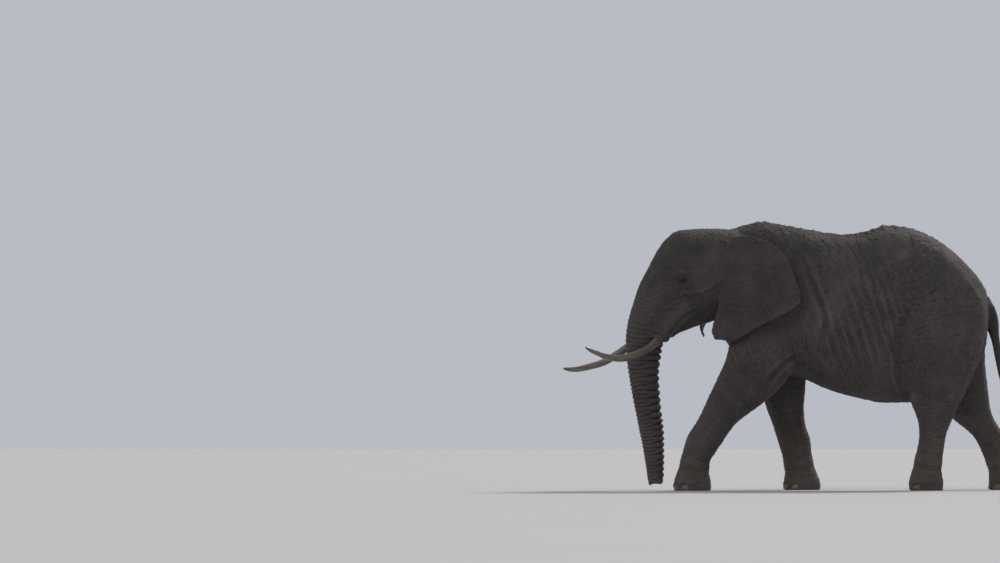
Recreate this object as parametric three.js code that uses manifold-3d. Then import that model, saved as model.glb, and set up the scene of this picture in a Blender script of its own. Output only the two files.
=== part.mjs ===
// African savanna elephant, adult bull, walking: a life-size model in millimetres.
// +Z up, head towards -Y, the animal's left side towards +X, soles on z = 0.
// The body is lofted from girths, joined, and parted again by thin cuts.
import * as THREE from 'three';
import { mergeVertices } from 'three/addons/utils/BufferGeometryUtils.js';
import Module from 'manifold-3d';

const wasm = await Module();
wasm.setup();

// ---- driving sizes -------------------------------------------------------
const GAP = 0.3;                  // between pieces that touch
const HEAD_TURN = 10 * Math.PI / 180;  // the head looks a little to its left
const HEAD_PIVOT = [0, -531, 0];  // the turn's axis, in the neck
const EYE_RADIUS = 22;
const EYE = [347, -1355, 2446];    // left eyeball's centre, head not yet turned
const EAR_THICK_ROOT = 40, EAR_THICK_EDGE = 17;
const EAR_LIFT_LEFT = [26, 12];   // degrees off the body at the root and at the edge
const EAR_LIFT_RIGHT = [78, 93];  // the right ear is spread
const EAR_REACH = 1.03;           // arc length of the ear over its length in side view
const NAIL_FORE = [-64, -23, 20, 61];  // degrees round the foot, 0 at the toe
const NAIL_HIND = [-50, -2, 46];
const NAIL_WIDTH = 48, NAIL_HEIGHT = 40, NAIL_DEPTH = 17;  // half sizes
const ORIGIN_SHIFT = [301.8, -47.4, 0];  // brings the box's bottom centre to the origin

// ---- girths --------------------------------------------------------------
// name, front/top point y z, rear/bottom point y z, side offset x, half width,
// where the girth is widest (0 top .. 1 bottom), fullness above and below
const TORSO = [
  ['poll', -732, 3050, -873, 2030, 0, 290, 0.52, 2.1, 2.0],
  ['nape', -590, 3103, -802, 1864, 0, 335, 0.55, 2.0, 2.0],
  ['neck', -460, 3135, -720, 1699, 0, 378, 0.58, 1.85, 2.0],
  ['withers', -319, 3159, -590, 1558, 0, 420, 0.6, 1.7, 2.0],
  ['shoulder', -153, 3135, -389, 1451, 0, 458, 0.6, 1.72, 2.0],
  ['heart', 35, 3100, -118, 1369, 0, 496, 0.61, 1.75, 2.0],
  ['girth', 236, 3060, 153, 1315, 0, 540, 0.62, 1.78, 2.05],
  ['ribs', 448, 3027, 413, 1200, 0, 590, 0.62, 1.8, 2.1],
  ['barrel', 673, 3007, 684, 1117, 0, 628, 0.6, 1.82, 2.15],
  ['paunch', 897, 3044, 956, 1062, 0, 640, 0.58, 1.84, 2.15],
  ['loin', 1109, 3107, 1215, 1042, 0, 618, 0.55, 1.86, 2.1],
  ['hip', 1322, 3100, 1451, 1038, 0, 588, 0.5, 1.95, 2.0],
  ['croup', 1549, 3042, 1664, 1074, 0, 556, 0.48, 2.05, 2.0],
  ['rump', 1777, 2921, 1853, 1145, 0, 516, 0.47, 2.1, 2.0],
  ['seat', 1980, 2759, 2018, 1251, 0, 456, 0.47, 2.1, 2.0],
  ['buttock', 2150, 2587, 2159, 1392, 0, 372, 0.48, 2.05, 2.0],
  ['tail seat', 2281, 2400, 2260, 1581, 0, 255, 0.49, 2.0, 2.0],
];
const SKULL = [
  ['nape end', -447, 2974, -567, 1983, 0, 285, 0.5, 2.2, 2.0],
  ['occiput', -617, 3049, -748, 1993, 0, 350, 0.5, 2.3, 2.0],
  ['ear base', -834, 3074, -906, 2016, 0, 395, 0.5, 2.3, 2.0],
  ['temple', -1051, 3074, -1028, 2038, 0, 415, 0.53, 2.2, 2.0],
  ['zygoma', -1220, 3063, -1112, 2061, 0, 415, 0.55, 2.1, 2.0],
  ['brow', -1364, 3039, -1197, 2072, 0, 392, 0.55, 2.1, 2.0],
  ['forehead', -1479, 2947, -1276, 2059, 0, 362, 0.55, 2.1, 2.0],
  ['bridge', -1593, 2799, -1348, 2035, 0, 328, 0.55, 2.1, 2.0],
  ['cheek', -1691, 2622, -1421, 1999, 0, 306, 0.55, 2.1, 2.0],
  ['muzzle', -1773, 2445, -1487, 1952, 0, 286, 0.54, 2.0, 2.0],
  ['lip', -1839, 2280, -1541, 1881, 0, 256, 0.52, 2.0, 2.0],
];
const TRUNK = [
  ['root', -1616, 2682, -1222, 2235, 0, 190, 0.5, 2.0, 2.0],
  ['bridge', -1731, 2534, -1319, 2070, 0, 234, 0.48, 2.0, 2.1],
  ['sockets', -1821, 2328, -1427, 1905, 0, 256, 0.46, 2.0, 2.2],
  ['lip line', -1890, 2139, -1517, 1775, 0, 250, 0.46, 2.0, 2.3],
  ['gape', -1941, 1951, -1547, 1664, 0, 226, 0.46, 2.0, 2.4],
  ['fullest', -1962, 1775, -1559, 1587, 0, 198, 0.46, 2.0, 2.5],
  ['below tusk', -1955, 1611, -1576, 1499, 0, 174, 0.46, 2.0, 2.6],
  ['upper', -1936, 1446, -1588, 1400, 0, 163, 0.46, 2.0, 2.6],
  ['upper mid', -1907, 1259, -1586, 1247, 0, 153, 0.46, 2.0, 2.6],
  ['mid', -1874, 1071, -1573, 1071, 0, 144, 0.46, 2.0, 2.6],
  ['lower mid', -1836, 883, -1554, 883, 0, 134, 0.46, 2.0, 2.6],
  ['lower', -1798, 695, -1530, 695, 0, 124, 0.46, 2.0, 2.6],
  ['wrist', -1759, 507, -1525, 507, 0, 113, 0.46, 2.0, 2.5],
  ['above tip', -1730, 331, -1523, 331, 0, 101, 0.46, 2.0, 2.4],
  ['tip', -1710, 190, -1527, 190, 0, 90, 0.48, 2.0, 2.2],
  ['rim', -1699, 90, -1530, 90, 0, 84, 0.5, 2.0, 2.0],
];
const JAW = [
  ['hinge', -907, 2333, -955, 1973, 0, 205, 0.55, 2.0, 2.0],
  ['ramus', -1052, 2250, -1052, 1944, 0, 195, 0.55, 2.0, 2.0],
  ['body', -1178, 2155, -1172, 1904, 0, 172, 0.55, 2.0, 1.9],
  ['front', -1305, 2060, -1293, 1860, 0, 142, 0.55, 2.0, 1.8],
  ['chin', -1419, 1959, -1401, 1798, 0, 108, 0.55, 2.0, 1.8],
  ['spout', -1516, 1847, -1498, 1730, 0, 70, 0.55, 2.0, 1.8],
];
const LEG_LF = [
  ['blade', -415, 2680, 172, 2680, 185, 130, 0.5, 2.0, 2.0],
  ['shoulder', -562, 2324, 188, 2277, 272, 178, 0.5, 2.0, 2.0],
  ['point', -661, 1971, 149, 1854, 306, 196, 0.48, 2.0, 2.0],
  ['arm', -732, 1713, 54, 1502, 322, 202, 0.48, 2.0, 2.0],
  ['elbow', -780, 1520, -122, 1221, 332, 202, 0.5, 2.0, 2.0],
  ['forearm', -862, 1326, -333, 1028, 335, 193, 0.5, 2.0, 2.0],
  ['mid arm', -950, 1145, -520, 894, 338, 185, 0.5, 2.1, 2.0],
  ['low arm', -1044, 952, -673, 771, 341, 177, 0.5, 2.1, 2.0],
  ['above wrist', -1137, 771, -772, 642, 344, 170, 0.5, 2.2, 2.0],
  ['wrist', -1225, 613, -843, 537, 347, 167, 0.5, 2.2, 2.0],
  ['shin', -1272, 472, -925, 431, 349, 162, 0.5, 2.2, 2.0],
  ['ankle', -1311, 332, -977, 320, 351, 165, 0.5, 2.2, 2.0],
  ['pastern', -1352, 203, -983, 197, 352, 184, 0.5, 2.2, 2.1],
  ['foot', -1387, 92, -966, 92, 353, 206, 0.5, 2.2, 2.2],
  ['sole edge', -1393, 30, -957, 30, 353, 210, 0.5, 2.2, 2.2],
  ['sole', -1369, 0, -978, 0, 353, 199, 0.5, 2.2, 2.2],
];
const LEG_RF = [
  ['blade', -435, 2700, 205, 2700, -185, 130, 0.5, 2.0, 2.0],
  ['shoulder', -511, 2325, 273, 2325, -272, 178, 0.5, 2.0, 2.0],
  ['point', -521, 1946, 276, 1946, -306, 196, 0.5, 2.0, 2.0],
  ['arm', -484, 1661, 242, 1637, -322, 202, 0.5, 2.0, 2.0],
  ['elbow', -400, 1423, 218, 1400, -327, 202, 0.5, 2.0, 2.0],
  ['forearm', -329, 1233, 204, 1209, -326, 193, 0.5, 2.0, 2.0],
  ['mid arm', -276, 1066, 192, 1055, -324, 185, 0.5, 2.1, 2.0],
  ['low arm', -228, 912, 186, 912, -322, 177, 0.5, 2.1, 2.0],
  ['above wrist', -175, 757, 203, 769, -320, 170, 0.5, 2.2, 2.0],
  ['wrist', -121, 614, 241, 632, -318, 167, 0.5, 2.2, 2.0],
  ['shin', -76, 472, 268, 490, -316, 162, 0.5, 2.2, 2.0],
  ['ankle', -47, 329, 292, 341, -315, 165, 0.5, 2.2, 2.0],
  ['pastern', -37, 198, 330, 204, -314, 184, 0.5, 2.2, 2.1],
  ['foot', -47, 91, 372, 91, -314, 206, 0.5, 2.2, 2.2],
  ['sole edge', -53, 30, 381, 30, -314, 210, 0.5, 2.2, 2.2],
  ['sole', -30, 0, 360, 0, -314, 199, 0.5, 2.2, 2.2],
];
const LEG_LH = [
  ['pelvis', 1192, 2609, 2120, 2445, 200, 150, 0.5, 2.0, 2.0],
  ['hip', 1181, 2229, 2241, 2159, 300, 195, 0.48, 2.0, 2.0],
  ['thigh', 1213, 1877, 2247, 1830, 322, 228, 0.48, 2.0, 2.0],
  ['mid thigh', 1265, 1584, 2184, 1561, 326, 232, 0.48, 2.0, 2.0],
  ['low thigh', 1312, 1350, 2106, 1327, 326, 226, 0.48, 2.0, 2.0],
  ['stifle', 1359, 1163, 2021, 1139, 324, 210, 0.48, 2.0, 2.0],
  ['knee', 1410, 1011, 1921, 964, 322, 193, 0.48, 2.0, 2.0],
  ['gaskin', 1457, 882, 1857, 835, 320, 177, 0.5, 2.1, 2.0],
  ['shank', 1483, 753, 1808, 718, 318, 162, 0.5, 2.1, 2.0],
  ['hock', 1487, 624, 1771, 607, 316, 152, 0.5, 2.2, 2.0],
  ['shin', 1463, 484, 1758, 478, 315, 151, 0.5, 2.2, 2.0],
  ['ankle', 1432, 355, 1741, 355, 314, 157, 0.5, 2.2, 2.0],
  ['pastern', 1399, 226, 1734, 226, 313, 171, 0.5, 2.2, 2.1],
  ['foot', 1369, 109, 1748, 109, 312, 184, 0.5, 2.2, 2.2],
  ['sole edge', 1364, 30, 1755, 30, 312, 187, 0.5, 2.2, 2.2],
  ['sole', 1385, 0, 1737, 0, 312, 176, 0.5, 2.2, 2.2],
];
const LEG_RH = [
  ['pelvis', 1239, 2630, 2175, 2464, -200, 150, 0.5, 2.0, 2.0],
  ['hip', 1286, 2255, 2326, 2184, -300, 195, 0.48, 2.0, 2.0],
  ['thigh', 1407, 1875, 2339, 1852, -322, 228, 0.48, 2.0, 2.0],
  ['mid thigh', 1562, 1519, 2330, 1566, -326, 232, 0.48, 2.0, 2.0],
  ['low thigh', 1717, 1257, 2345, 1352, -326, 226, 0.48, 2.0, 2.0],
  ['stifle', 1848, 1061, 2366, 1174, -324, 210, 0.48, 2.0, 2.0],
  ['knee', 1946, 881, 2385, 1019, -322, 193, 0.48, 2.0, 2.0],
  ['gaskin', 2059, 770, 2410, 894, -320, 177, 0.5, 2.1, 2.0],
  ['shank', 2166, 674, 2465, 787, -318, 162, 0.5, 2.1, 2.0],
  ['hock', 2251, 567, 2531, 674, -316, 152, 0.5, 2.2, 2.0],
  ['shin', 2310, 448, 2596, 543, -315, 151, 0.5, 2.2, 2.0],
  ['ankle', 2355, 335, 2655, 400, -314, 157, 0.5, 2.2, 2.0],
  ['pastern', 2385, 216, 2708, 252, -313, 171, 0.5, 2.2, 2.1],
  ['foot', 2393, 103, 2765, 115, -312, 184, 0.5, 2.2, 2.2],
  ['sole edge', 2393, 30, 2776, 30, -312, 187, 0.5, 2.2, 2.2],
  ['sole', 2415, 0, 2759, 0, -312, 176, 0.5, 2.2, 2.2],
];
const TAIL = [
  ['dock', 2100, 2572, 2171, 2336, 0, 80, 0.5, 2.0, 2.0],
  ['root', 2254, 2395, 2183, 2195, 0, 72, 0.5, 2.0, 2.0],
  ['set', 2381, 2209, 2260, 2041, 0, 62, 0.5, 2.0, 2.0],
  ['fall', 2451, 2011, 2316, 1923, 0, 52, 0.5, 2.0, 2.0],
  ['upper', 2472, 1794, 2379, 1758, 0, 42, 0.5, 2.0, 2.0],
  ['middle', 2509, 1581, 2419, 1552, 0, 36, 0.5, 2.0, 2.0],
  ['lower', 2549, 1369, 2465, 1333, 0, 31, 0.5, 2.0, 2.0],
  ['bone end', 2596, 1156, 2528, 1126, 0, 27, 0.5, 2.0, 2.0],
  ['tip', 2637, 968, 2594, 950, 0, 22, 0.5, 2.0, 2.0],
];
const TUFT = [
  ['first hairs', 2598, 1168, 2535, 1139, 0, 29, 0.5, 2.0, 2.0],
  ['fan', 2655, 1015, 2558, 979, 0, 28, 0.5, 2.0, 2.0],
  ['fullest', 2706, 850, 2587, 820, 0, 25, 0.5, 2.0, 2.0],
  ['brush', 2729, 684, 2617, 661, 0, 20, 0.5, 2.0, 2.0],
  ['hair ends', 2718, 531, 2649, 519, 0, 12, 0.5, 2.0, 2.0],
];

// name, root line y z, free edge y z
const EAR = [
  ['crest', -726, 2981, -577, 2997],
  ['upper corner', -697, 2888, -310, 2920],
  ['upper root', -709, 2783, -136, 2795],
  ['root', -755, 2655, -28, 2626],
  ['middle root', -802, 2503, 32, 2458],
  ['lower root', -837, 2363, 76, 2307],
  ['root end', -864, 2229, 65, 2174],
  ['free edge', -890, 2095, -78, 2060],
  ['lobe', -929, 1978, -304, 1952],
  ['lobe tip', -950, 1861, -519, 1836],
  ['point', -904, 1768, -688, 1745],
];

// name, x y z, radius
const TUSK_L = [
  ['root', 360, -1247, 2121, 50],
  ['socket', 395, -1401, 1950, 51],
  ['lip', 425, -1531, 1809, 50],
  ['at the lip', 462, -1667, 1676, 48],
  ['bend', 508, -1826, 1587, 45],
  ['belly', 560, -2003, 1538, 41],
  ['middle', 603, -2167, 1551, 36],
  ['rise', 632, -2290, 1596, 29],
  ['taper', 650, -2371, 1629, 22],
  ['tip', 659, -2415, 1654, 13],
];
const TUSK_R = [
  ['root', -80, -1388, 2056, 50],
  ['socket', -70, -1519, 1955, 51],
  ['lip', -61, -1649, 1866, 50],
  ['at the lip', -55, -1791, 1775, 48.5],
  ['bend', -50, -1933, 1670, 46.5],
  ['belly', -42, -2058, 1588, 44.5],
  ['middle', -27, -2200, 1506, 41.5],
  ['rise', -5, -2348, 1460, 38.5],
  ['flat', 15, -2490, 1427, 33.5],
  ['taper', 30, -2591, 1421, 27],
  ['tip', 40, -2656, 1429, 16],
];
const SHEATH_L = [
  ['deep', 245, -1006, 2384, 95],
  ['upper', 318, -1174, 2193, 118],
  ['middle', 378, -1341, 2015, 113],
  ['lower', 411, -1466, 1880, 91],
  ['collar', 427, -1542, 1797, 68],
];
const SHEATH_R = [
  ['deep', -35, -1131, 2397, 95],
  ['upper', -82, -1294, 2210, 118],
  ['middle', -76, -1459, 2038, 113],
  ['lower', -66, -1584, 1926, 91],
  ['collar', -61, -1661, 1855, 68],
];
const EAR_ROOT_X = 392, EAR_ROOT_LEAN = -0.03;  // how far out the ear's root line lies, and its slope

// ---- lofting -------------------------------------------------------------
const catmull = (a, b, c, d, t) => 0.5 * (2 * b + (c - a) * t
  + (2 * a - 5 * b + 4 * c - d) * t * t + (3 * b - a - 3 * c + d) * t * t * t);

// the numbers of a table at a fractional row, on a smooth curve through the rows
function rowAt(table, s) {
  const n = table.length, i = Math.min(Math.floor(s), n - 2), t = s - i;
  const r = (k) => table[Math.max(0, Math.min(n - 1, k))];
  return table[0].slice(1).map((_, j) => catmull(r(i - 1)[j + 1], r(i)[j + 1], r(i + 1)[j + 1], r(i + 2)[j + 1], t));
}

const power = (v, e) => Math.sign(v) * Math.pow(Math.abs(v), e);

// one girth as a ring of points, its centre and the direction across it
function girth([ay, az, by, bz, x0, w, c, na, nb], sides, grow) {
  const L = Math.hypot(by - ay, bz - az), uy = (by - ay) / L, uz = (bz - az) / L;
  const wide = [ay + uy * L * c, az + uz * L * c], ring = [];
  for (let k = 0; k < sides; k++) {
    const f = 2 * Math.PI * k / sides, cs = Math.cos(f), sn = Math.sin(f);
    const e = 2 / (cs >= 0 ? na : nb);
    const along = -power(cs, e) * ((cs >= 0 ? c : 1 - c) * L + grow);
    ring.push(new THREE.Vector3(x0 + power(sn, e) * (w + grow), wide[0] + uy * along, wide[1] + uz * along));
  }
  return { ring, centre: new THREE.Vector3(x0, (ay + by) / 2, (az + bz) / 2), normal: new THREE.Vector3(0, -uz, uy) };
}

// one round section of a curved tube
function hoop([x, y, z, r], ahead, sides, grow) {
  const side = new THREE.Vector3(1, 0, 0), t = ahead.clone().normalize();
  const up = new THREE.Vector3().crossVectors(t, side).normalize();
  side.crossVectors(up, t).normalize();
  const centre = new THREE.Vector3(x, y, z), ring = [];
  for (let k = 0; k < sides; k++) {
    const f = 2 * Math.PI * k / sides;
    ring.push(centre.clone().addScaledVector(up, Math.cos(f) * (r + grow)).addScaledVector(side, Math.sin(f) * (r + grow)));
  }
  return { ring, centre, normal: t };
}

// rings to a closed solid; a dome of the given depth rounds each end, 0 leaves it flat
function skinOver(sections, domeStart, domeEnd, domeRings = 2) {
  const rings = sections.map((s) => s.ring);
  const cap = (s, other, depth) => {
    const n = s.normal.clone();
    if (n.dot(s.centre.clone().sub(other.centre)) < 0) n.negate();
    const out = [];
    for (let i = 1; i < domeRings && depth > 0; i++) {
      const a = i / domeRings * Math.PI / 2;
      out.push(s.ring.map((p) => s.centre.clone().lerp(p, Math.cos(a)).addScaledVector(n, depth * Math.sin(a))));
    }
    return { out, apex: s.centre.clone().addScaledVector(n, depth) };
  };
  const first = cap(sections[0], sections[1], domeStart);
  const last = cap(sections.at(-1), sections.at(-2), domeEnd);
  const all = [...first.out.reverse(), ...rings, ...last.out];
  const sides = all[0].length, pos = [], index = [];
  for (const ring of all) for (const p of ring) pos.push(p.x, p.y, p.z);
  for (let i = 0; i + 1 < all.length; i++) for (let k = 0; k < sides; k++) {
    const a = i * sides + k, b = i * sides + (k + 1) % sides, c = a + sides, d = b + sides;
    index.push(a, b, d, a, d, c);
  }
  const p0 = pos.length / 3;
  pos.push(...first.apex.toArray(), ...last.apex.toArray());
  for (let k = 0; k < sides; k++) {
    index.push(p0, (k + 1) % sides, k);
    const e = (all.length - 1) * sides;
    index.push(p0 + 1, e + k, e + (k + 1) % sides);
  }
  return closed(pos, index);
}

function closed(pos, index) {
  const g = new THREE.BufferGeometry();
  g.setAttribute('position', new THREE.Float32BufferAttribute(pos, 3));
  g.setIndex(index);
  let volume = 0;
  const v = [new THREE.Vector3(), new THREE.Vector3(), new THREE.Vector3()];
  for (let i = 0; i < index.length; i += 3) {
    v.forEach((q, k) => q.fromArray(pos, index[i + k] * 3));
    volume += v[0].dot(v[1].cross(v[2]));
  }
  if (volume < 0) for (let i = 0; i < index.length; i += 3) [index[i + 1], index[i + 2]] = [index[i + 2], index[i + 1]];
  g.setIndex(index);
  return g;
}

function loft(table, rings, sides, { grow = 0, domes = [0, 0] } = {}) {
  const sections = [];
  for (let i = 0; i < rings; i++) sections.push(girth(rowAt(table, (table.length - 1) * i / (rings - 1)), sides, grow));
  return skinOver(sections, domes[0] + grow * (domes[0] > 0), domes[1] + grow * (domes[1] > 0));
}

function tube(table, rings, sides, { grow = 0, domes = [0, 0] } = {}) {
  const at = (s) => rowAt(table, Math.max(0, Math.min(table.length - 1, s)));
  const sections = [];
  for (let i = 0; i < rings; i++) {
    const s = (table.length - 1) * i / (rings - 1), a = at(s - 0.05), b = at(s + 0.05);
    sections.push(hoop(at(s), new THREE.Vector3(b[0] - a[0], b[1] - a[1], b[2] - a[2]), sides, grow));
  }
  return skinOver(sections, domes[0] + grow, domes[1] + grow);
}

// ---- solids --------------------------------------------------------------
function solid(geometry) {
  const g = geometry.clone();
  g.deleteAttribute('normal');
  g.deleteAttribute('uv');
  const m = mergeVertices(g, 1e-3);
  return new wasm.Manifold(new wasm.Mesh({
    numProp: 3,
    vertProperties: new Float32Array(m.attributes.position.array),
    triVerts: new Uint32Array(m.index.array),
  }));
}

function geometryOf(manifold) {
  const mesh = manifold.getMesh(), n = mesh.numProp, pos = [];
  for (let i = 0; i < mesh.vertProperties.length; i += n) pos.push(mesh.vertProperties[i], mesh.vertProperties[i + 1], mesh.vertProperties[i + 2]);
  const g = new THREE.BufferGeometry();
  g.setAttribute('position', new THREE.Float32BufferAttribute(pos, 3));
  g.setIndex(Array.from(mesh.triVerts));
  return g;
}

const join = (...solids) => solids.reduce((a, b) => a.add(b));
const biggest = (s) => s.decompose().sort((a, b) => b.volume() - a.volume())[0];

const turn = new THREE.Matrix4().makeTranslation(...HEAD_PIVOT)
  .multiply(new THREE.Matrix4().makeRotationZ(HEAD_TURN))
  .multiply(new THREE.Matrix4().makeTranslation(...HEAD_PIVOT.map((v) => -v)));
const turned = (geometry) => geometry.clone().applyMatrix4(turn);

// a box with one face on the line from p to q of the side view, reaching depth to the
// left of p>q, over the x span, and standing out by margin all round
function block(p, q, depth, x0, x1, margin, head = false) {
  const L = Math.hypot(q[0] - p[0], q[1] - p[1]), uy = (q[0] - p[0]) / L, uz = (q[1] - p[1]) / L;
  const g = new THREE.BoxGeometry(x1 - x0 + 2 * margin, L + 2 * margin, depth + 2 * margin);
  g.translate((x0 + x1) / 2, L / 2, depth / 2);
  g.rotateX(Math.atan2(uz, uy));
  g.translate(0, p[0], p[1]);
  return solid(head ? turned(g) : g);
}

// parts a body in two along a block: what the block holds, and the rest
function part(body, ...place) {
  const [p, q, depth, x0, x1, head] = place;
  return [body.intersect(block(p, q, depth, x0, x1, -GAP / 2, head)), body.subtract(block(p, q, depth, x0, x1, GAP / 2, head))];
}

// ---- ears ----------------------------------------------------------------
// A sheet from the root line to the free edge, bent outwards by the lift angles,
// with a shallow ripple, the thin edge folded back along the top.
function ear(side, lift, grow = 0) {
  const NU = 8, NV = 10, rad = Math.PI / 180, mid = [], normals = [];
  const root = (y, z) => {
    const w = EAR_ROOT_X + EAR_ROOT_LEAN * (z - 2400) - 0.42 * Math.max(0, z - 2680);
    const p = new THREE.Vector3(side * w, y, z);
    return side > 0 ? p : p.applyMatrix4(turn);
  };
  for (let j = 0; j <= NV; j++) {
    const v = j / NV, rise = side > 0 ? 0 : 20 + 62 * v;  // the spread ear is held higher
    let [fy, fz, gy, gz] = rowAt(EAR, (EAR.length - 1) * v);
    fz += rise; gz += rise;
    const p = root(side > 0 ? fy + 8 : fy - 14, fz);
    const chord = (gy - fy) * EAR_REACH * (side > 0 ? 1 : 1.0), row = [p.clone()];
    for (let i = 1; i <= NU; i++) {
      const u = (i - 0.5) / NU, a = (lift[0] + (lift[1] - lift[0]) * u + (side > 0 ? 10 : 6) * Math.sin(5.2 * v + 4 * u - 0.6) * u) * rad;
      p.x += side * Math.sin(a) * chord / NU;
      p.y += Math.cos(a) * chord / NU;
      row.push(p.clone().setZ(fz + (gz - fz) * i / NU));
    }
    mid.push(row);
  }
  // a grown ear reaches further at its rim too
  const push = (p, q) => p.addScaledVector(p.clone().sub(q).normalize(), 4 * grow);
  for (const row of mid) { push(row[0], row[1]); push(row[NU], row[NU - 1]); }
  for (let i = 0; i <= NU; i++) { push(mid[0][i], mid[1][i]); push(mid[NV][i], mid[NV - 1][i]); }
  const thick = (i, j) => {
    const u = i / NU, v = j / NV;
    return (EAR_THICK_EDGE + (EAR_THICK_ROOT - EAR_THICK_EDGE) * Math.pow(1 - u, 1.4) * (0.35 + 0.65 * Math.cos((v - 0.3) * 2))) / 2 + grow;
  };
  const pos = [], index = [];
  for (const face of [1, -1]) for (let j = 0; j <= NV; j++) for (let i = 0; i <= NU; i++) {
    const du = mid[j][Math.min(NU, i + 1)].clone().sub(mid[j][Math.max(0, i - 1)]);
    const dv = mid[Math.min(NV, j + 1)][i].clone().sub(mid[Math.max(0, j - 1)][i]);
    const n = dv.cross(du).normalize(), rim = i === 0 || i === NU || j === 0 || j === NV;
    const p = mid[j][i].clone().addScaledVector(n, face * thick(i, j) * (rim ? 0.6 : 1));
    pos.push(p.x, p.y, p.z);
  }
  const at = (f, j, i) => f * (NV + 1) * (NU + 1) + j * (NU + 1) + i;
  for (let j = 0; j < NV; j++) for (let i = 0; i < NU; i++) {
    index.push(at(0, j, i), at(0, j, i + 1), at(0, j + 1, i + 1), at(0, j, i), at(0, j + 1, i + 1), at(0, j + 1, i));
    index.push(at(1, j, i), at(1, j + 1, i + 1), at(1, j, i + 1), at(1, j, i), at(1, j + 1, i), at(1, j + 1, i + 1));
  }
  const rim = [];
  for (let i = 0; i < NU; i++) rim.push([0, i]);
  for (let j = 0; j < NV; j++) rim.push([j, NU]);
  for (let i = NU; i > 0; i--) rim.push([NV, i]);
  for (let j = NV; j > 0; j--) rim.push([j, 0]);
  rim.forEach(([j, i], k) => {
    const [j2, i2] = rim[(k + 1) % rim.length];
    index.push(at(0, j, i), at(1, j, i), at(1, j2, i2), at(0, j, i), at(1, j2, i2), at(0, j2, i2));
  });
  return closed(pos, index);
}

// ---- the body as one -----------------------------------------------------
const torsoLoft = (grow) => loft(TORSO, 18, 22, { grow, domes: [60, 34] });
const skullLoft = (grow) => turned(loft(SKULL, 12, 20, { grow, domes: [60, 40] }));
const trunkLoft = (grow) => turned(loft(TRUNK, 19, 14, { grow, domes: [60, 14] }));
const sheathLoft = (table, grow) => tube(table, 5, 10, { grow, domes: [60, 16] });
const LEGS = { left_fore: [LEG_LF, NAIL_FORE], right_fore: [LEG_RF, NAIL_FORE], left_hind: [LEG_LH, NAIL_HIND], right_hind: [LEG_RH, NAIL_HIND] };

// a toenail is a low shield on the rim of the foot
function toenail(table, degrees, inward) {
  const [ay, az, by, bz, x0, w] = rowAt(table, table.length - 2.35), a = degrees * Math.PI / 180;
  const cy = (ay + by) / 2, half = (by - ay) / 2;
  const g = new THREE.SphereGeometry(1, 8, 4);
  g.scale(NAIL_WIDTH, NAIL_DEPTH, NAIL_HEIGHT);
  g.rotateX(0.20);
  g.rotateZ(a);
  g.translate(x0 + Math.sin(a) * (w - 3), cy - Math.cos(a) * (half - 3), NAIL_HEIGHT + 9);
  return solid(g);
}

let body = join(solid(torsoLoft(0)), solid(skullLoft(0)), solid(trunkLoft(0)),
  solid(sheathLoft(SHEATH_L, 0)), solid(sheathLoft(SHEATH_R, 0)));
for (const [table, nails] of Object.values(LEGS)) {
  body = body.add(solid(loft(table, 14, 14, { domes: [70, 0] })));
  for (const d of nails) body = body.add(toenail(table, d));
}

// sockets for what is set into the head
const eyeball = (side, grow = 0) => {
  const g = new THREE.SphereGeometry(EYE_RADIUS + grow, 10, 6);
  g.translate(side * EYE[0], EYE[1], EYE[2]);
  return solid(turned(g));
};
const tusk = (table, grow = 0) => solid(tube(table, 12, 10, { grow, domes: [0, 26] }));
for (const hole of [eyeball(1, GAP), eyeball(-1, GAP), tusk(TUSK_L, GAP), tusk(TUSK_R, GAP),
  solid(ear(1, EAR_LIFT_LEFT, GAP)), solid(ear(-1, EAR_LIFT_RIGHT, GAP))]) body = body.subtract(hole);

// ---- parting -------------------------------------------------------------
const pieces = {};
const take = (name, ...place) => {
  const [piece, rest] = part(body, ...place);
  pieces[name] = biggest(piece);
  body = rest;
};
// trunk lengths, from the tip up
take('trunk_lower', [-2400, -40], [-1480, -40], 620, -200, 700);
take('trunk_middle', [-2400, 560], [-1480, 560], 600, -200, 700);
take('trunk_upper', [-1300, 1436], [-2300, 1949], 1000, -210, 210, true);
const FOOT_TOP = 186;             // the cut round the ankle
const span = { left: [110, 800], right: [-800, -110] };
const footPlace = { left_fore: [-1600, -850], right_fore: [-300, 560], left_hind: [1200, 1960], right_hind: [2200, 3000] };
for (const [name, [y0, y1]] of Object.entries(footPlace)) {
  const [x0, x1] = span[name.split('_')[0]];
  take(`${name}_foot`, [y0, -60], [y1, -60], FOOT_TOP + 60, x0, x1);
}
// the leg cuts follow the elbow and knee; each block hangs below its line
take('left_foreleg', [400, 968], [-1400, 1773], 1900, 40, 900);
take('right_foreleg', [310, 1222], [-700, 1222], 1240, -900, -40);
take('left_hindleg', [2180, 952], [1240, 1010], 1300, 40, 900);
take('right_hindleg', [2900, 1162], [1500, 760], 1300, -900, -100);
// head and neck
take('head', [-860, 1500], [-690, 3300], 1600, -900, 900, true);
take('neck', [-740, 1560], [-400, 3300], 1500, -900, 900);
pieces.torso = biggest(body);

// the lower jaw lies under the muzzle, behind the trunk
const jaw = solid(turned(loft(JAW, 8, 12, { domes: [60, 26] })));
pieces.lower_jaw = biggest(jaw.subtract(solid(skullLoft(GAP))).subtract(solid(trunkLoft(GAP)))
  .subtract(solid(sheathLoft(SHEATH_L, GAP))).subtract(solid(sheathLoft(SHEATH_R, GAP)))
  .subtract(solid(torsoLoft(GAP))).subtract(tusk(TUSK_L, GAP)).subtract(tusk(TUSK_R, GAP)));

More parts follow.
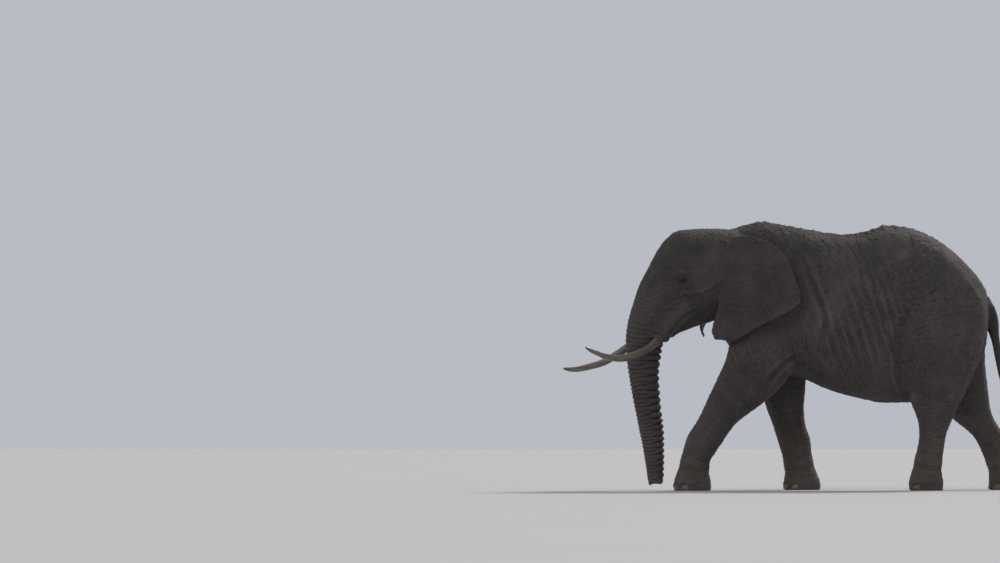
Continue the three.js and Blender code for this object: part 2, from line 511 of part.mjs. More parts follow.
// tail and its brush of stiff hair
const tailLoft = solid(loft(TAIL, 10, 8, { domes: [20, 12] }));
pieces.tail = biggest(tailLoft.subtract(solid(torsoLoft(GAP))));
pieces.tail_tuft = biggest(solid(loft(TUFT, 7, 8, { domes: [0, 20] })).subtract(solid(loft(TAIL, 10, 8, { grow: GAP, domes: [20, 12] }))));

pieces.left_ear = solid(ear(1, EAR_LIFT_LEFT));
pieces.right_ear = solid(ear(-1, EAR_LIFT_RIGHT));
pieces.left_tusk = tusk(TUSK_L);
pieces.right_tusk = tusk(TUSK_R);
pieces.left_eye = eyeball(1);
pieces.right_eye = eyeball(-1);

// ---- the model -----------------------------------------------------------
const hide = () => new THREE.MeshStandardMaterial({ color: 0x4b4541, roughness: 0.9, metalness: 0 });
const looks = {
  tusk: () => new THREE.MeshStandardMaterial({ color: 0xc9bd9f, roughness: 0.38, metalness: 0 }),
  eye: () => new THREE.MeshStandardMaterial({ color: 0x2a1a10, roughness: 0.12, metalness: 0 }),
  tuft: () => new THREE.MeshStandardMaterial({ color: 0x15110f, roughness: 0.6, metalness: 0 }),
};
const group = new THREE.Group();
for (const [name, piece] of Object.entries(pieces)) {
  const mesh = new THREE.Mesh(geometryOf(piece), (looks[name.split('_').pop()] ?? hide)());
  mesh.name = name;
  mesh.position.set(...ORIGIN_SHIFT);
  group.add(mesh);
}

export default group;
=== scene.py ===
# African savanna elephant: the looks. One skin over the whole body, with eyes, tusks,
# toenails, tail hair and bristles as pieces of their own.
import bpy, bmesh, math, time
import numpy as np
from mathutils import Vector, Matrix


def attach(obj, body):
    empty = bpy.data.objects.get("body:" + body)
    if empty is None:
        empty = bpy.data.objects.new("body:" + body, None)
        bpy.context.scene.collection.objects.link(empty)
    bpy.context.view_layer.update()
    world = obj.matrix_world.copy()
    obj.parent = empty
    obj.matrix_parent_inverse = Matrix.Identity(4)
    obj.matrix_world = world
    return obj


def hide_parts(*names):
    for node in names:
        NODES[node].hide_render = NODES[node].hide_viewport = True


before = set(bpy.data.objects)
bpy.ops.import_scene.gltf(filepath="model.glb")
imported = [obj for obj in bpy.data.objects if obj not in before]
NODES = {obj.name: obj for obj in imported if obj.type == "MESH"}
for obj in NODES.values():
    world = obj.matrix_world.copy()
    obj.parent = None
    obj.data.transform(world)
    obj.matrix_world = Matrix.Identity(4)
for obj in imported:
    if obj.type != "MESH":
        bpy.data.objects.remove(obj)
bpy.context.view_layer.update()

T_START = time.time()


def clock(what):
    print("%6.1f s  %s" % (time.time() - T_START, what), flush=True)


# ---- sizes, in millimetres, in the part's frame before its origin is moved ----------
SHIFT = np.array([301.8, -47.4, 0.0])
HEAD_TURN = math.radians(10.0)
PIVOT_Y = -531.0
EYE_R = 22.0
EYE_AT = np.array([347, -1355, 2446])      # left eye, head not yet turned
COARSE = 20.0      # first and last voxel sizes
FINE = 9.6


# ---- girths, as in the part: name, front/top point y z, rear/bottom point y z, side
# offset, half width, where it is widest, fullness above and below ------------------------
TORSO = [
    ["poll", -732, 3050, -873, 2030, 0, 290, 0.52, 2.1, 2.0],
    ["nape", -590, 3103, -802, 1864, 0, 335, 0.55, 2.0, 2.0],
    ["neck", -460, 3135, -720, 1699, 0, 378, 0.58, 1.85, 2.0],
    ["withers", -319, 3159, -590, 1558, 0, 420, 0.6, 1.7, 2.0],
    ["shoulder", -153, 3135, -389, 1451, 0, 458, 0.6, 1.72, 2.0],
    ["heart", 35, 3100, -118, 1369, 0, 496, 0.61, 1.75, 2.0],
    ["girth", 236, 3060, 153, 1315, 0, 540, 0.62, 1.78, 2.05],
    ["ribs", 448, 3027, 413, 1200, 0, 590, 0.62, 1.8, 2.1],
    ["barrel", 673, 3007, 684, 1117, 0, 628, 0.6, 1.82, 2.15],
    ["paunch", 897, 3044, 956, 1062, 0, 640, 0.58, 1.84, 2.15],
    ["loin", 1109, 3107, 1215, 1042, 0, 618, 0.55, 1.86, 2.1],
    ["hip", 1322, 3100, 1451, 1038, 0, 588, 0.5, 1.95, 2.0],
    ["croup", 1549, 3042, 1664, 1074, 0, 556, 0.48, 2.05, 2.0],
    ["rump", 1777, 2921, 1853, 1145, 0, 516, 0.47, 2.1, 2.0],
    ["seat", 1980, 2759, 2018, 1251, 0, 456, 0.47, 2.1, 2.0],
    ["buttock", 2150, 2587, 2159, 1392, 0, 372, 0.48, 2.05, 2.0],
    ["tail seat", 2281, 2400, 2260, 1581, 0, 255, 0.49, 2.0, 2.0],
]
SKULL = [
    ["nape end", -447, 2974, -567, 1983, 0, 285, 0.5, 2.2, 2.0],
    ["occiput", -617, 3049, -748, 1993, 0, 350, 0.5, 2.3, 2.0],
    ["ear base", -834, 3074, -906, 2016, 0, 395, 0.5, 2.3, 2.0],
    ["temple", -1051, 3074, -1028, 2038, 0, 415, 0.53, 2.2, 2.0],
    ["zygoma", -1220, 3063, -1112, 2061, 0, 415, 0.55, 2.1, 2.0],
    ["brow", -1364, 3039, -1197, 2072, 0, 392, 0.55, 2.1, 2.0],
    ["forehead", -1479, 2947, -1276, 2059, 0, 362, 0.55, 2.1, 2.0],
    ["bridge", -1593, 2799, -1348, 2035, 0, 328, 0.55, 2.1, 2.0],
    ["cheek", -1691, 2622, -1421, 1999, 0, 306, 0.55, 2.1, 2.0],
    ["muzzle", -1773, 2445, -1487, 1952, 0, 286, 0.54, 2.0, 2.0],
    ["lip", -1839, 2280, -1541, 1881, 0, 256, 0.52, 2.0, 2.0],
]
TRUNK = [
    ["root", -1616, 2682, -1222, 2235, 0, 190, 0.5, 2.0, 2.0],
    ["bridge", -1731, 2534, -1319, 2070, 0, 234, 0.48, 2.0, 2.1],
    ["sockets", -1821, 2328, -1427, 1905, 0, 256, 0.46, 2.0, 2.2],
    ["lip line", -1890, 2139, -1517, 1775, 0, 250, 0.46, 2.0, 2.3],
    ["gape", -1941, 1951, -1547, 1664, 0, 226, 0.46, 2.0, 2.4],
    ["fullest", -1962, 1775, -1559, 1587, 0, 198, 0.46, 2.0, 2.5],
    ["below tusk", -1955, 1611, -1576, 1499, 0, 174, 0.46, 2.0, 2.6],
    ["upper", -1936, 1446, -1588, 1400, 0, 163, 0.46, 2.0, 2.6],
    ["upper mid", -1907, 1259, -1586, 1247, 0, 153, 0.46, 2.0, 2.6],
    ["mid", -1874, 1071, -1573, 1071, 0, 144, 0.46, 2.0, 2.6],
    ["lower mid", -1836, 883, -1554, 883, 0, 134, 0.46, 2.0, 2.6],
    ["lower", -1798, 695, -1530, 695, 0, 124, 0.46, 2.0, 2.6],
    ["wrist", -1759, 507, -1525, 507, 0, 113, 0.46, 2.0, 2.5],
    ["above tip", -1730, 331, -1523, 331, 0, 101, 0.46, 2.0, 2.4],
    ["tip", -1710, 190, -1527, 190, 0, 90, 0.48, 2.0, 2.2],
    ["rim", -1699, 90, -1530, 90, 0, 84, 0.5, 2.0, 2.0],
]
JAW = [
    ["hinge", -907, 2333, -955, 1973, 0, 205, 0.55, 2.0, 2.0],
    ["ramus", -1052, 2250, -1052, 1944, 0, 195, 0.55, 2.0, 2.0],
    ["body", -1178, 2155, -1172, 1904, 0, 172, 0.55, 2.0, 1.9],
    ["front", -1305, 2060, -1293, 1860, 0, 142, 0.55, 2.0, 1.8],
    ["chin", -1419, 1959, -1401, 1798, 0, 108, 0.55, 2.0, 1.8],
    ["spout", -1516, 1847, -1498, 1730, 0, 70, 0.55, 2.0, 1.8],
]
LEG_LF = [
    ["blade", -415, 2680, 172, 2680, 185, 130, 0.5, 2.0, 2.0],
    ["shoulder", -562, 2324, 188, 2277, 272, 178, 0.5, 2.0, 2.0],
    ["point", -661, 1971, 149, 1854, 306, 196, 0.48, 2.0, 2.0],
    ["arm", -732, 1713, 54, 1502, 322, 202, 0.48, 2.0, 2.0],
    ["elbow", -780, 1520, -122, 1221, 332, 202, 0.5, 2.0, 2.0],
    ["forearm", -862, 1326, -333, 1028, 335, 193, 0.5, 2.0, 2.0],
    ["mid arm", -950, 1145, -520, 894, 338, 185, 0.5, 2.1, 2.0],
    ["low arm", -1044, 952, -673, 771, 341, 177, 0.5, 2.1, 2.0],
    ["above wrist", -1137, 771, -772, 642, 344, 170, 0.5, 2.2, 2.0],
    ["wrist", -1225, 613, -843, 537, 347, 167, 0.5, 2.2, 2.0],
    ["shin", -1272, 472, -925, 431, 349, 162, 0.5, 2.2, 2.0],
    ["ankle", -1311, 332, -977, 320, 351, 165, 0.5, 2.2, 2.0],
    ["pastern", -1352, 203, -983, 197, 352, 184, 0.5, 2.2, 2.1],
    ["foot", -1387, 92, -966, 92, 353, 206, 0.5, 2.2, 2.2],
    ["sole edge", -1393, 30, -957, 30, 353, 210, 0.5, 2.2, 2.2],
    ["sole", -1369, 0, -978, 0, 353, 199, 0.5, 2.2, 2.2],
]
LEG_RF = [
    ["blade", -435, 2700, 205, 2700, -185, 130, 0.5, 2.0, 2.0],
    ["shoulder", -511, 2325, 273, 2325, -272, 178, 0.5, 2.0, 2.0],
    ["point", -521, 1946, 276, 1946, -306, 196, 0.5, 2.0, 2.0],
    ["arm", -484, 1661, 242, 1637, -322, 202, 0.5, 2.0, 2.0],
    ["elbow", -400, 1423, 218, 1400, -327, 202, 0.5, 2.0, 2.0],
    ["forearm", -329, 1233, 204, 1209, -326, 193, 0.5, 2.0, 2.0],
    ["mid arm", -276, 1066, 192, 1055, -324, 185, 0.5, 2.1, 2.0],
    ["low arm", -228, 912, 186, 912, -322, 177, 0.5, 2.1, 2.0],
    ["above wrist", -175, 757, 203, 769, -320, 170, 0.5, 2.2, 2.0],
    ["wrist", -121, 614, 241, 632, -318, 167, 0.5, 2.2, 2.0],
    ["shin", -76, 472, 268, 490, -316, 162, 0.5, 2.2, 2.0],
    ["ankle", -47, 329, 292, 341, -315, 165, 0.5, 2.2, 2.0],
    ["pastern", -37, 198, 330, 204, -314, 184, 0.5, 2.2, 2.1],
    ["foot", -47, 91, 372, 91, -314, 206, 0.5, 2.2, 2.2],
    ["sole edge", -53, 30, 381, 30, -314, 210, 0.5, 2.2, 2.2],
    ["sole", -30, 0, 360, 0, -314, 199, 0.5, 2.2, 2.2],
]
LEG_LH = [
    ["pelvis", 1192, 2609, 2120, 2445, 200, 150, 0.5, 2.0, 2.0],
    ["hip", 1181, 2229, 2241, 2159, 300, 195, 0.48, 2.0, 2.0],
    ["thigh", 1213, 1877, 2247, 1830, 322, 228, 0.48, 2.0, 2.0],
    ["mid thigh", 1265, 1584, 2184, 1561, 326, 232, 0.48, 2.0, 2.0],
    ["low thigh", 1312, 1350, 2106, 1327, 326, 226, 0.48, 2.0, 2.0],
    ["stifle", 1359, 1163, 2021, 1139, 324, 210, 0.48, 2.0, 2.0],
    ["knee", 1410, 1011, 1921, 964, 322, 193, 0.48, 2.0, 2.0],
    ["gaskin", 1457, 882, 1857, 835, 320, 177, 0.5, 2.1, 2.0],
    ["shank", 1483, 753, 1808, 718, 318, 162, 0.5, 2.1, 2.0],
    ["hock", 1487, 624, 1771, 607, 316, 152, 0.5, 2.2, 2.0],
    ["shin", 1463, 484, 1758, 478, 315, 151, 0.5, 2.2, 2.0],
    ["ankle", 1432, 355, 1741, 355, 314, 157, 0.5, 2.2, 2.0],
    ["pastern", 1399, 226, 1734, 226, 313, 171, 0.5, 2.2, 2.1],
    ["foot", 1369, 109, 1748, 109, 312, 184, 0.5, 2.2, 2.2],
    ["sole edge", 1364, 30, 1755, 30, 312, 187, 0.5, 2.2, 2.2],
    ["sole", 1385, 0, 1737, 0, 312, 176, 0.5, 2.2, 2.2],
]
LEG_RH = [
    ["pelvis", 1239, 2630, 2175, 2464, -200, 150, 0.5, 2.0, 2.0],
    ["hip", 1286, 2255, 2326, 2184, -300, 195, 0.48, 2.0, 2.0],
    ["thigh", 1407, 1875, 2339, 1852, -322, 228, 0.48, 2.0, 2.0],
    ["mid thigh", 1562, 1519, 2330, 1566, -326, 232, 0.48, 2.0, 2.0],
    ["low thigh", 1717, 1257, 2345, 1352, -326, 226, 0.48, 2.0, 2.0],
    ["stifle", 1848, 1061, 2366, 1174, -324, 210, 0.48, 2.0, 2.0],
    ["knee", 1946, 881, 2385, 1019, -322, 193, 0.48, 2.0, 2.0],
    ["gaskin", 2059, 770, 2410, 894, -320, 177, 0.5, 2.1, 2.0],
    ["shank", 2166, 674, 2465, 787, -318, 162, 0.5, 2.1, 2.0],
    ["hock", 2251, 567, 2531, 674, -316, 152, 0.5, 2.2, 2.0],
    ["shin", 2310, 448, 2596, 543, -315, 151, 0.5, 2.2, 2.0],
    ["ankle", 2355, 335, 2655, 400, -314, 157, 0.5, 2.2, 2.0],
    ["pastern", 2385, 216, 2708, 252, -313, 171, 0.5, 2.2, 2.1],
    ["foot", 2393, 103, 2765, 115, -312, 184, 0.5, 2.2, 2.2],
    ["sole edge", 2393, 30, 2776, 30, -312, 187, 0.5, 2.2, 2.2],
    ["sole", 2415, 0, 2759, 0, -312, 176, 0.5, 2.2, 2.2],
]
TAIL = [
    ["dock", 2100, 2572, 2171, 2336, 0, 80, 0.5, 2.0, 2.0],
    ["root", 2254, 2395, 2183, 2195, 0, 72, 0.5, 2.0, 2.0],
    ["set", 2381, 2209, 2260, 2041, 0, 62, 0.5, 2.0, 2.0],
    ["fall", 2451, 2011, 2316, 1923, 0, 52, 0.5, 2.0, 2.0],
    ["upper", 2472, 1794, 2379, 1758, 0, 42, 0.5, 2.0, 2.0],
    ["middle", 2509, 1581, 2419, 1552, 0, 36, 0.5, 2.0, 2.0],
    ["lower", 2549, 1369, 2465, 1333, 0, 31, 0.5, 2.0, 2.0],
    ["bone end", 2596, 1156, 2528, 1126, 0, 27, 0.5, 2.0, 2.0],
    ["tip", 2637, 968, 2594, 950, 0, 22, 0.5, 2.0, 2.0],
]
TUFT = [
    ["first hairs", 2598, 1168, 2535, 1139, 0, 29, 0.5, 2.0, 2.0],
    ["fan", 2655, 1015, 2558, 979, 0, 28, 0.5, 2.0, 2.0],
    ["fullest", 2706, 850, 2587, 820, 0, 25, 0.5, 2.0, 2.0],
    ["brush", 2729, 684, 2617, 661, 0, 20, 0.5, 2.0, 2.0],
    ["hair ends", 2718, 531, 2649, 519, 0, 12, 0.5, 2.0, 2.0],
]

# name, root line y z, free edge y z
EAR = [
    ["crest", -726, 2981, -577, 2997],
    ["upper corner", -697, 2888, -310, 2920],
    ["upper root", -709, 2783, -136, 2795],
    ["root", -755, 2655, -28, 2626],
    ["middle root", -802, 2503, 32, 2458],
    ["lower root", -837, 2363, 76, 2307],
    ["root end", -864, 2229, 65, 2174],
    ["free edge", -890, 2095, -78, 2060],
    ["lobe", -929, 1978, -304, 1952],
    ["lobe tip", -950, 1861, -519, 1836],
    ["point", -904, 1768, -688, 1745],
]

# name, x y z, radius
TUSK_L = [
    ["root", 360, -1247, 2121, 50],
    ["socket", 395, -1401, 1950, 51],
    ["lip", 425, -1531, 1809, 50],
    ["at the lip", 462, -1667, 1676, 48],
    ["bend", 508, -1826, 1587, 45],
    ["belly", 560, -2003, 1538, 41],
    ["middle", 603, -2167, 1551, 36],
    ["rise", 632, -2290, 1596, 29],
    ["taper", 650, -2371, 1629, 22],
    ["tip", 659, -2415, 1654, 13],
]
TUSK_R = [
    ["root", -80, -1388, 2056, 50],
    ["socket", -70, -1519, 1955, 51],
    ["lip", -61, -1649, 1866, 50],
    ["at the lip", -55, -1791, 1775, 48.5],
    ["bend", -50, -1933, 1670, 46.5],
    ["belly", -42, -2058, 1588, 44.5],
    ["middle", -27, -2200, 1506, 41.5],
    ["rise", -5, -2348, 1460, 38.5],
    ["flat", 15, -2490, 1427, 33.5],
    ["taper", 30, -2591, 1421, 27],
    ["tip", 40, -2656, 1429, 16],
]
SHEATH_L = [
    ["deep", 245, -1006, 2384, 95],
    ["upper", 318, -1174, 2193, 118],
    ["middle", 378, -1341, 2015, 113],
    ["lower", 411, -1466, 1880, 91],
    ["collar", 427, -1542, 1797, 68],
]
SHEATH_R = [
    ["deep", -35, -1131, 2397, 95],
    ["upper", -82, -1294, 2210, 118],
    ["middle", -76, -1459, 2038, 113],
    ["lower", -66, -1584, 1926, 91],
    ["collar", -61, -1661, 1855, 68],
]
EAR_ROOT_X, EAR_ROOT_LEAN = 392, -0.03



# ---- camera: the photograph's long side view, level with the animal's knees ---------
cam = bpy.data.objects.new("camera", bpy.data.cameras.new("camera"))
bpy.context.scene.collection.objects.link(cam)
CAM_D = 40.0
cam.location = (CAM_D + SHIFT[0] / 1000, (-3422.0 + SHIFT[1]) / 1000, 0.5074)
cam.rotation_euler = (math.radians(90 + 2.795), 0, math.radians(90))
cam.data.sensor_width = 36.0
cam.data.lens = 36.0 * (CAM_D * 1000 / 11.8) / 1000
cam.data.clip_start, cam.data.clip_end = 1.0, 2000.0
bpy.context.scene.camera = cam


# ---- small numeric helpers ----------------------------------------------------------
def sstep(x, a, b):
    t = np.clip((x - a) / (b - a), 0, 1)
    return t * t * (3 - 2 * t)


def table(rows):
    return np.array([r[1:] for r in rows], float)


def at(T, s):
    """Rows of a table at fractional places, on a smooth curve through the rows."""
    s = np.atleast_1d(np.asarray(s, float))
    n = len(T)
    i = np.clip(np.floor(s).astype(int), 0, n - 2)
    t = (s - i)[:, None]
    a, b, c, d = (T[np.clip(i + k, 0, n - 1)] for k in (-1, 0, 1, 2))
    return 0.5 * (2 * b + (c - a) * t + (2 * a - 5 * b + 4 * c - d) * t * t + (3 * b - a - 3 * c + d) * t ** 3)


def turned(P, sign=1):
    """Turns points from the head's own frame into the body's, or back with sign -1."""
    c, s = math.cos(sign * HEAD_TURN), math.sin(sign * HEAD_TURN)
    Q = np.array(P, float)
    x, y = Q[..., 0].copy(), Q[..., 1] - PIVOT_Y
    Q[..., 0] = c * x - s * y
    Q[..., 1] = s * x + c * y + PIVOT_Y
    return Q


# lattice noise with gradients, in numpy
_rs = np.random.RandomState(11)
_PERM = _rs.permutation(256).astype(np.int32)
_PERM = np.concatenate([_PERM, _PERM, _PERM])
_G = _rs.normal(size=(256, 3))
_G = (_G / np.linalg.norm(_G, axis=1, keepdims=True)).astype(np.float32)


def noise(P, seed=0):
    """Smooth noise of about -0.7 .. 0.7 at points (n, 3), features about 1 apart."""
    P = np.asarray(P, np.float32) + np.float32(17.13 * seed + 100.5)
    I = np.floor(P).astype(np.int32)
    F = P - I
    U = F * F * F * (F * (F * 6 - 15) + 10)
    I &= 255
    out = None
    for dx in (0, 1):
        px = _PERM[(I[:, 0] + dx) & 255]
        wx = U[:, 0] if dx else 1 - U[:, 0]
        for dy in (0, 1):
            py = _PERM[px + ((I[:, 1] + dy) & 255)]
            wy = wx * (U[:, 1] if dy else 1 - U[:, 1])
            for dz in (0, 1):
                g = _G[_PERM[py + ((I[:, 2] + dz) & 255)] & 255]
                v = g[:, 0] * (F[:, 0] - dx) + g[:, 1] * (F[:, 1] - dy) + g[:, 2] * (F[:, 2] - dz)
                v = v * wy * (U[:, 2] if dz else 1 - U[:, 2])
                out = v if out is None else out + v
    return out


def fbm(P, seed=0, octaves=3, gain=0.5):
    P = np.asarray(P, np.float32)
    tot, amp = 0, 1.0
    for k in range(octaves):
        tot = tot + amp * noise(P * (2.03 ** k), seed + 3 * k)
        amp *= gain
    return tot


def cells(P, seed=0, jitter=0.9):
    """Distances to the nearest and second nearest of scattered points about 1 apart."""
    P = np.asarray(P, np.float32) + np.float32(31.7 * seed + 57.3)
    I = np.floor(P).astype(np.int32)
    d1 = np.full(len(P), 9.0, np.float32)
    d2 = np.full(len(P), 9.0, np.float32)
    for dx in (-1, 0, 1):
        for dy in (-1, 0, 1):
            for dz in (-1, 0, 1):
                J = I + np.array([dx, dy, dz], np.int32)
                h = _PERM[_PERM[_PERM[J[:, 0] & 255] + (J[:, 1] & 255)] + (J[:, 2] & 255)] & 255
                o = _G[h] * (0.5 * jitter) + 0.5
                d = ((J + o - P) ** 2).sum(1)
                d2 = np.where(d < d1, d1, np.minimum(d2, d))
                d1 = np.minimum(d1, d)
    return np.sqrt(d1), np.sqrt(d2)


def groove(n, w):
    """1 on the zero lines of a noise, falling to 0 within w of them."""
    return np.exp(-(n / w) ** 2)


def polyline_distance(P, line):
    """Distance of points (n, k) to a polyline, and how far along it (0..1) the nearest place is."""
    L = np.asarray(line, float)
    seg = np.linalg.norm(np.diff(L, axis=0), axis=1)
    start = np.concatenate([[0], np.cumsum(seg)])
    best = np.full(len(P), 1e18)
    along = np.zeros(len(P))
    for i in range(len(L) - 1):
        d = L[i + 1] - L[i]
        t = np.clip(((P - L[i]) @ d) / (d @ d), 0, 1)
        q = ((P - L[i] - t[:, None] * d) ** 2).sum(1)
        m = q < best
        best[m] = q[m]
        along[m] = (start[i] + t[m] * seg[i]) / start[-1]
    return np.sqrt(best), along


def smooth_line(points, n=24):
    """A smooth curve through a few points."""
    return at(np.asarray(points, float), np.linspace(0, len(points) - 1, n))


# ---- lofts --------------------------------------------------------------------------
def power(v, e):
    return np.sign(v) * np.abs(v) ** e


def stitch(rings, domes, normals, centres):
    """Rings of points into a closed mesh with rounded ends."""
    def cap(ring, centre, normal, other, depth):
        if depth <= 0:
            return [], centre
        if normal @ (centre - other) < 0:
            normal = -normal
        out = [centre + (ring - centre) * math.cos(a) + normal * depth * math.sin(a)
               for a in np.linspace(0, math.pi / 2, 8)[1:-1]]
        return out, centre + normal * depth
    first, apex0 = cap(rings[0], centres[0], normals[0], centres[1], domes[0])
    last, apex1 = cap(rings[-1], centres[-1], normals[-1], centres[-2], domes[1])
    allr = first[::-1] + list(rings) + last
    k, n = len(allr[0]), len(allr)
    V = np.concatenate(allr + [apex0[None], apex1[None]])
    i, j = np.meshgrid(np.arange(n - 1), np.arange(k), indexing="ij")
    a = i * k + j
    b = i * k + (j + 1) % k
    Q = np.stack([a, b, b + k, a + k], -1).reshape(-1, 4)
    j = np.arange(k)
    T0 = np.stack([np.full(k, n * k), (j + 1) % k, j], -1)
    e = (n - 1) * k
    T1 = np.stack([np.full(k, n * k + 1), e + j, e + (j + 1) % k], -1)
    return V, Q.tolist() + T0.tolist() + T1.tolist()


def loft(T, rings=90, sides=72, domes=(60, 60), grow=0.0):
    R = at(T, np.linspace(0, len(T) - 1, rings))
    f = 2 * math.pi * np.arange(sides) / sides
    cs, sn = np.cos(f), np.sin(f)
    out, nor, cen = [], [], []
    for ay, az, by, bz, x0, w, c, na, nb in R:
        L = math.hypot(by - ay, bz - az)
        uy, uz = (by - ay) / L, (bz - az) / L
        e = np.where(cs >= 0, 2 / na, 2 / nb)
        along = -power(cs, e) * (np.where(cs >= 0, c, 1 - c) * L + grow)
        out.append(np.stack([x0 + power(sn, e) * (w + grow), ay + uy * L * c + uy * along, az + uz * L * c + uz * along], 1))
        nor.append(np.array([0, -uz, uy]))
        cen.append(np.array([x0, (ay + by) / 2, (az + bz) / 2]))
    return stitch(out, domes, nor, cen)


def tube(T, rings=60, sides=40, domes=(20, 20), grow=0.0, shape=None):
    s = np.linspace(0, len(T) - 1, rings)
    C = at(T, s)
    D = at(T, np.clip(s + 0.05, 0, len(T) - 1)) - at(T, np.clip(s - 0.05, 0, len(T) - 1))
    f = 2 * math.pi * np.arange(sides) / sides
    out, nor, cen = [], [], []
    for i in range(rings):
        t = D[i, :3] / np.linalg.norm(D[i, :3])
        up = np.cross(t, [1.0, 0, 0])
        up /= np.linalg.norm(up)
        side = np.cross(up, t)
        r = C[i, 3] + grow
        rr = r if shape is None else r * shape(s[i], f)[:, None]
        out.append(C[i, :3] + (np.cos(f)[:, None] * up + np.sin(f)[:, None] * side) * rr)
        nor.append(t)
        cen.append(C[i, :3])
    return stitch(out, domes, nor, cen)


def new_mesh(name, V, F, smooth=True):
    """A mesh object from points in millimetres."""
    me = bpy.data.meshes.new(name)
    me.from_pydata(((np.asarray(V) + SHIFT) / 1000).tolist(), [], F if isinstance(F, list) else F.tolist())
    me.validate()
    me.update()
    if smooth:
        me.polygons.foreach_set("use_smooth", np.ones(len(me.polygons), bool))
    ob = bpy.data.objects.new(name, me)
    bpy.context.scene.collection.objects.link(ob)
    return ob


def joined(parts, name):
    V, F, n = [], [], 0
    for v, f in parts:
        V.append(v)
        F += [[i + n for i in q] for q in f]
        n += len(v)
    return new_mesh(name, np.concatenate(V), F)


def applied(ob):
    """The object's mesh with its modifiers applied; the object is removed."""
    dg = bpy.context.evaluated_depsgraph_get()
    me = bpy.data.meshes.new_from_object(ob.evaluated_get(dg))
    bpy.data.objects.remove(ob, do_unlink=True)
    return me


def voxels(ob, size):
    m = ob.modifiers.new("voxel", "REMESH")
    m.mode = "VOXEL"
    m.voxel_size = size / 1000
    m.adaptivity = 0
    return applied(ob)


def outward(V, F):
    """Faces turned so that the closed mesh has its normals pointing out."""
    V = np.asarray(V)
    Q = np.array([[q[0], q[1], q[2], q[-1]] for q in F])
    a, b, c, d = (V[Q[:, k]] for k in range(4))
    v = (a * (np.cross(b, c) + np.cross(c, d))).sum()
    return F if v > 0 else [q[::-1] for q in F]


class Surface:
    """Arrays of a mesh of quads and triangles, in millimetres before the shift."""

    def __init__(self, me):
        n = len(me.vertices)
        co = np.empty(n * 3, np.float32)
        me.vertices.foreach_get("co", co)
        self.V = co.reshape(-1, 3).astype(float) * 1000 - SHIFT
        ls = np.empty(len(me.polygons), np.int32)
        lt = np.empty(len(me.polygons), np.int32)
        me.polygons.foreach_get("loop_start", ls)
        me.polygons.foreach_get("loop_total", lt)
        vi = np.empty(len(me.loops), np.int32)
        me.loops.foreach_get("vertex_index", vi)
        F = np.full((len(ls), 4), -1, np.int32)
        for k in range(4):
            m = lt > k
            F[m, k] = vi[ls[m] + k]
        tri = lt == 3
        F[tri, 3] = F[tri, 2]
        self.F = F
        ed = np.empty(len(me.edges) * 2, np.int32)
        me.edges.foreach_get("vertices", ed)
        self.E = ed.reshape(-1, 2)
        self.deg = np.maximum(np.bincount(self.E.ravel(), minlength=n), 1).astype(float)

    def mean(self, A):
        """Each vertex's neighbours' mean of a field (n,) or (n, k)."""
        a, b = self.E[:, 0], self.E[:, 1]
        n = len(self.V)
        if A.ndim == 1:
            return (np.bincount(a, A[b], n) + np.bincount(b, A[a], n)) / self.deg
        return np.stack([self.mean(A[:, k]) for k in range(A.shape[1])], 1)

    def smooth_field(self, A, times):
        for _ in range(times):
            A = 0.5 * A + 0.5 * self.mean(A)
        return A

    def normals(self):
        V, F = self.V, self.F
        c = np.cross(V[F[:, 2]] - V[F[:, 0]], V[F[:, 3]] - V[F[:, 1]])
        N = np.zeros_like(V)
        n = len(V)
        idx = F.copy()
        for k in range(4):
            w = np.ones(len(F)) if k < 3 else (F[:, 3] != F[:, 2]).astype(float)
            for j in range(3):
                N[:, j] += np.bincount(idx[:, k], c[:, j] * w, n)
        return N / np.maximum(np.linalg.norm(N, axis=1, keepdims=True), 1e-9)

    def fill(self, times, rate, plain=0.0):
        """Fills hollows, as a fillet does: only what lies below its neighbours rises."""
        N = self.normals()
        for k in range(times):
            if k % 8 == 7:
                N = self.normals()
            L = self.mean(self.V) - self.V
            h = (L * N).sum(1)
            self.V += (rate * np.maximum(h, 0) + plain * h)[:, None] * N
        return self

    def relax(self, times, rate=0.5):
        for _ in range(times):
            self.V += rate * (self.mean(self.V) - self.V)
            self.V -= rate * 1.04 * (self.mean(self.V) - self.V)

    def write(self, me):
        me.vertices.foreach_set("co", ((self.V + SHIFT) / 1000).astype(np.float32).ravel())
        me.update()


# places in the photograph's side view to places on the animal
def place(px, py, x=0.0):
    f = (CAM_D * 1000 - x) / (CAM_D * 1000)
    return np.array([(px - 500) * 11.8 * f - 3422.0, 507.4 + (447 - py) * 11.8 * f])


def curve(points, x=450.0):
    """A line given by its side-view points, as (y, z) in millimetres."""
    return smooth_line([place(a, b, x) for a, b in points])


def head_place(px, py, w=330.0):
    """The same on the head's left side, in the head's own frame."""
    y, z = place(px, py, 0)
    for _ in range(3):
        xh = w * math.cos(HEAD_TURN) - (y - PIVOT_Y) * math.sin(HEAD_TURN)
        y, z = place(px, py, xh)
    yh = ((y - PIVOT_Y) - w * math.sin(HEAD_TURN)) / math.cos(HEAD_TURN) + PIVOT_Y
    return np.array([yh, z])


def head_curve(points, w=330.0):
    return smooth_line([head_place(a, b, w) for a, b in points])



# ---- ears ---------------------------------------------------------------------------
EAR_T = table(EAR)


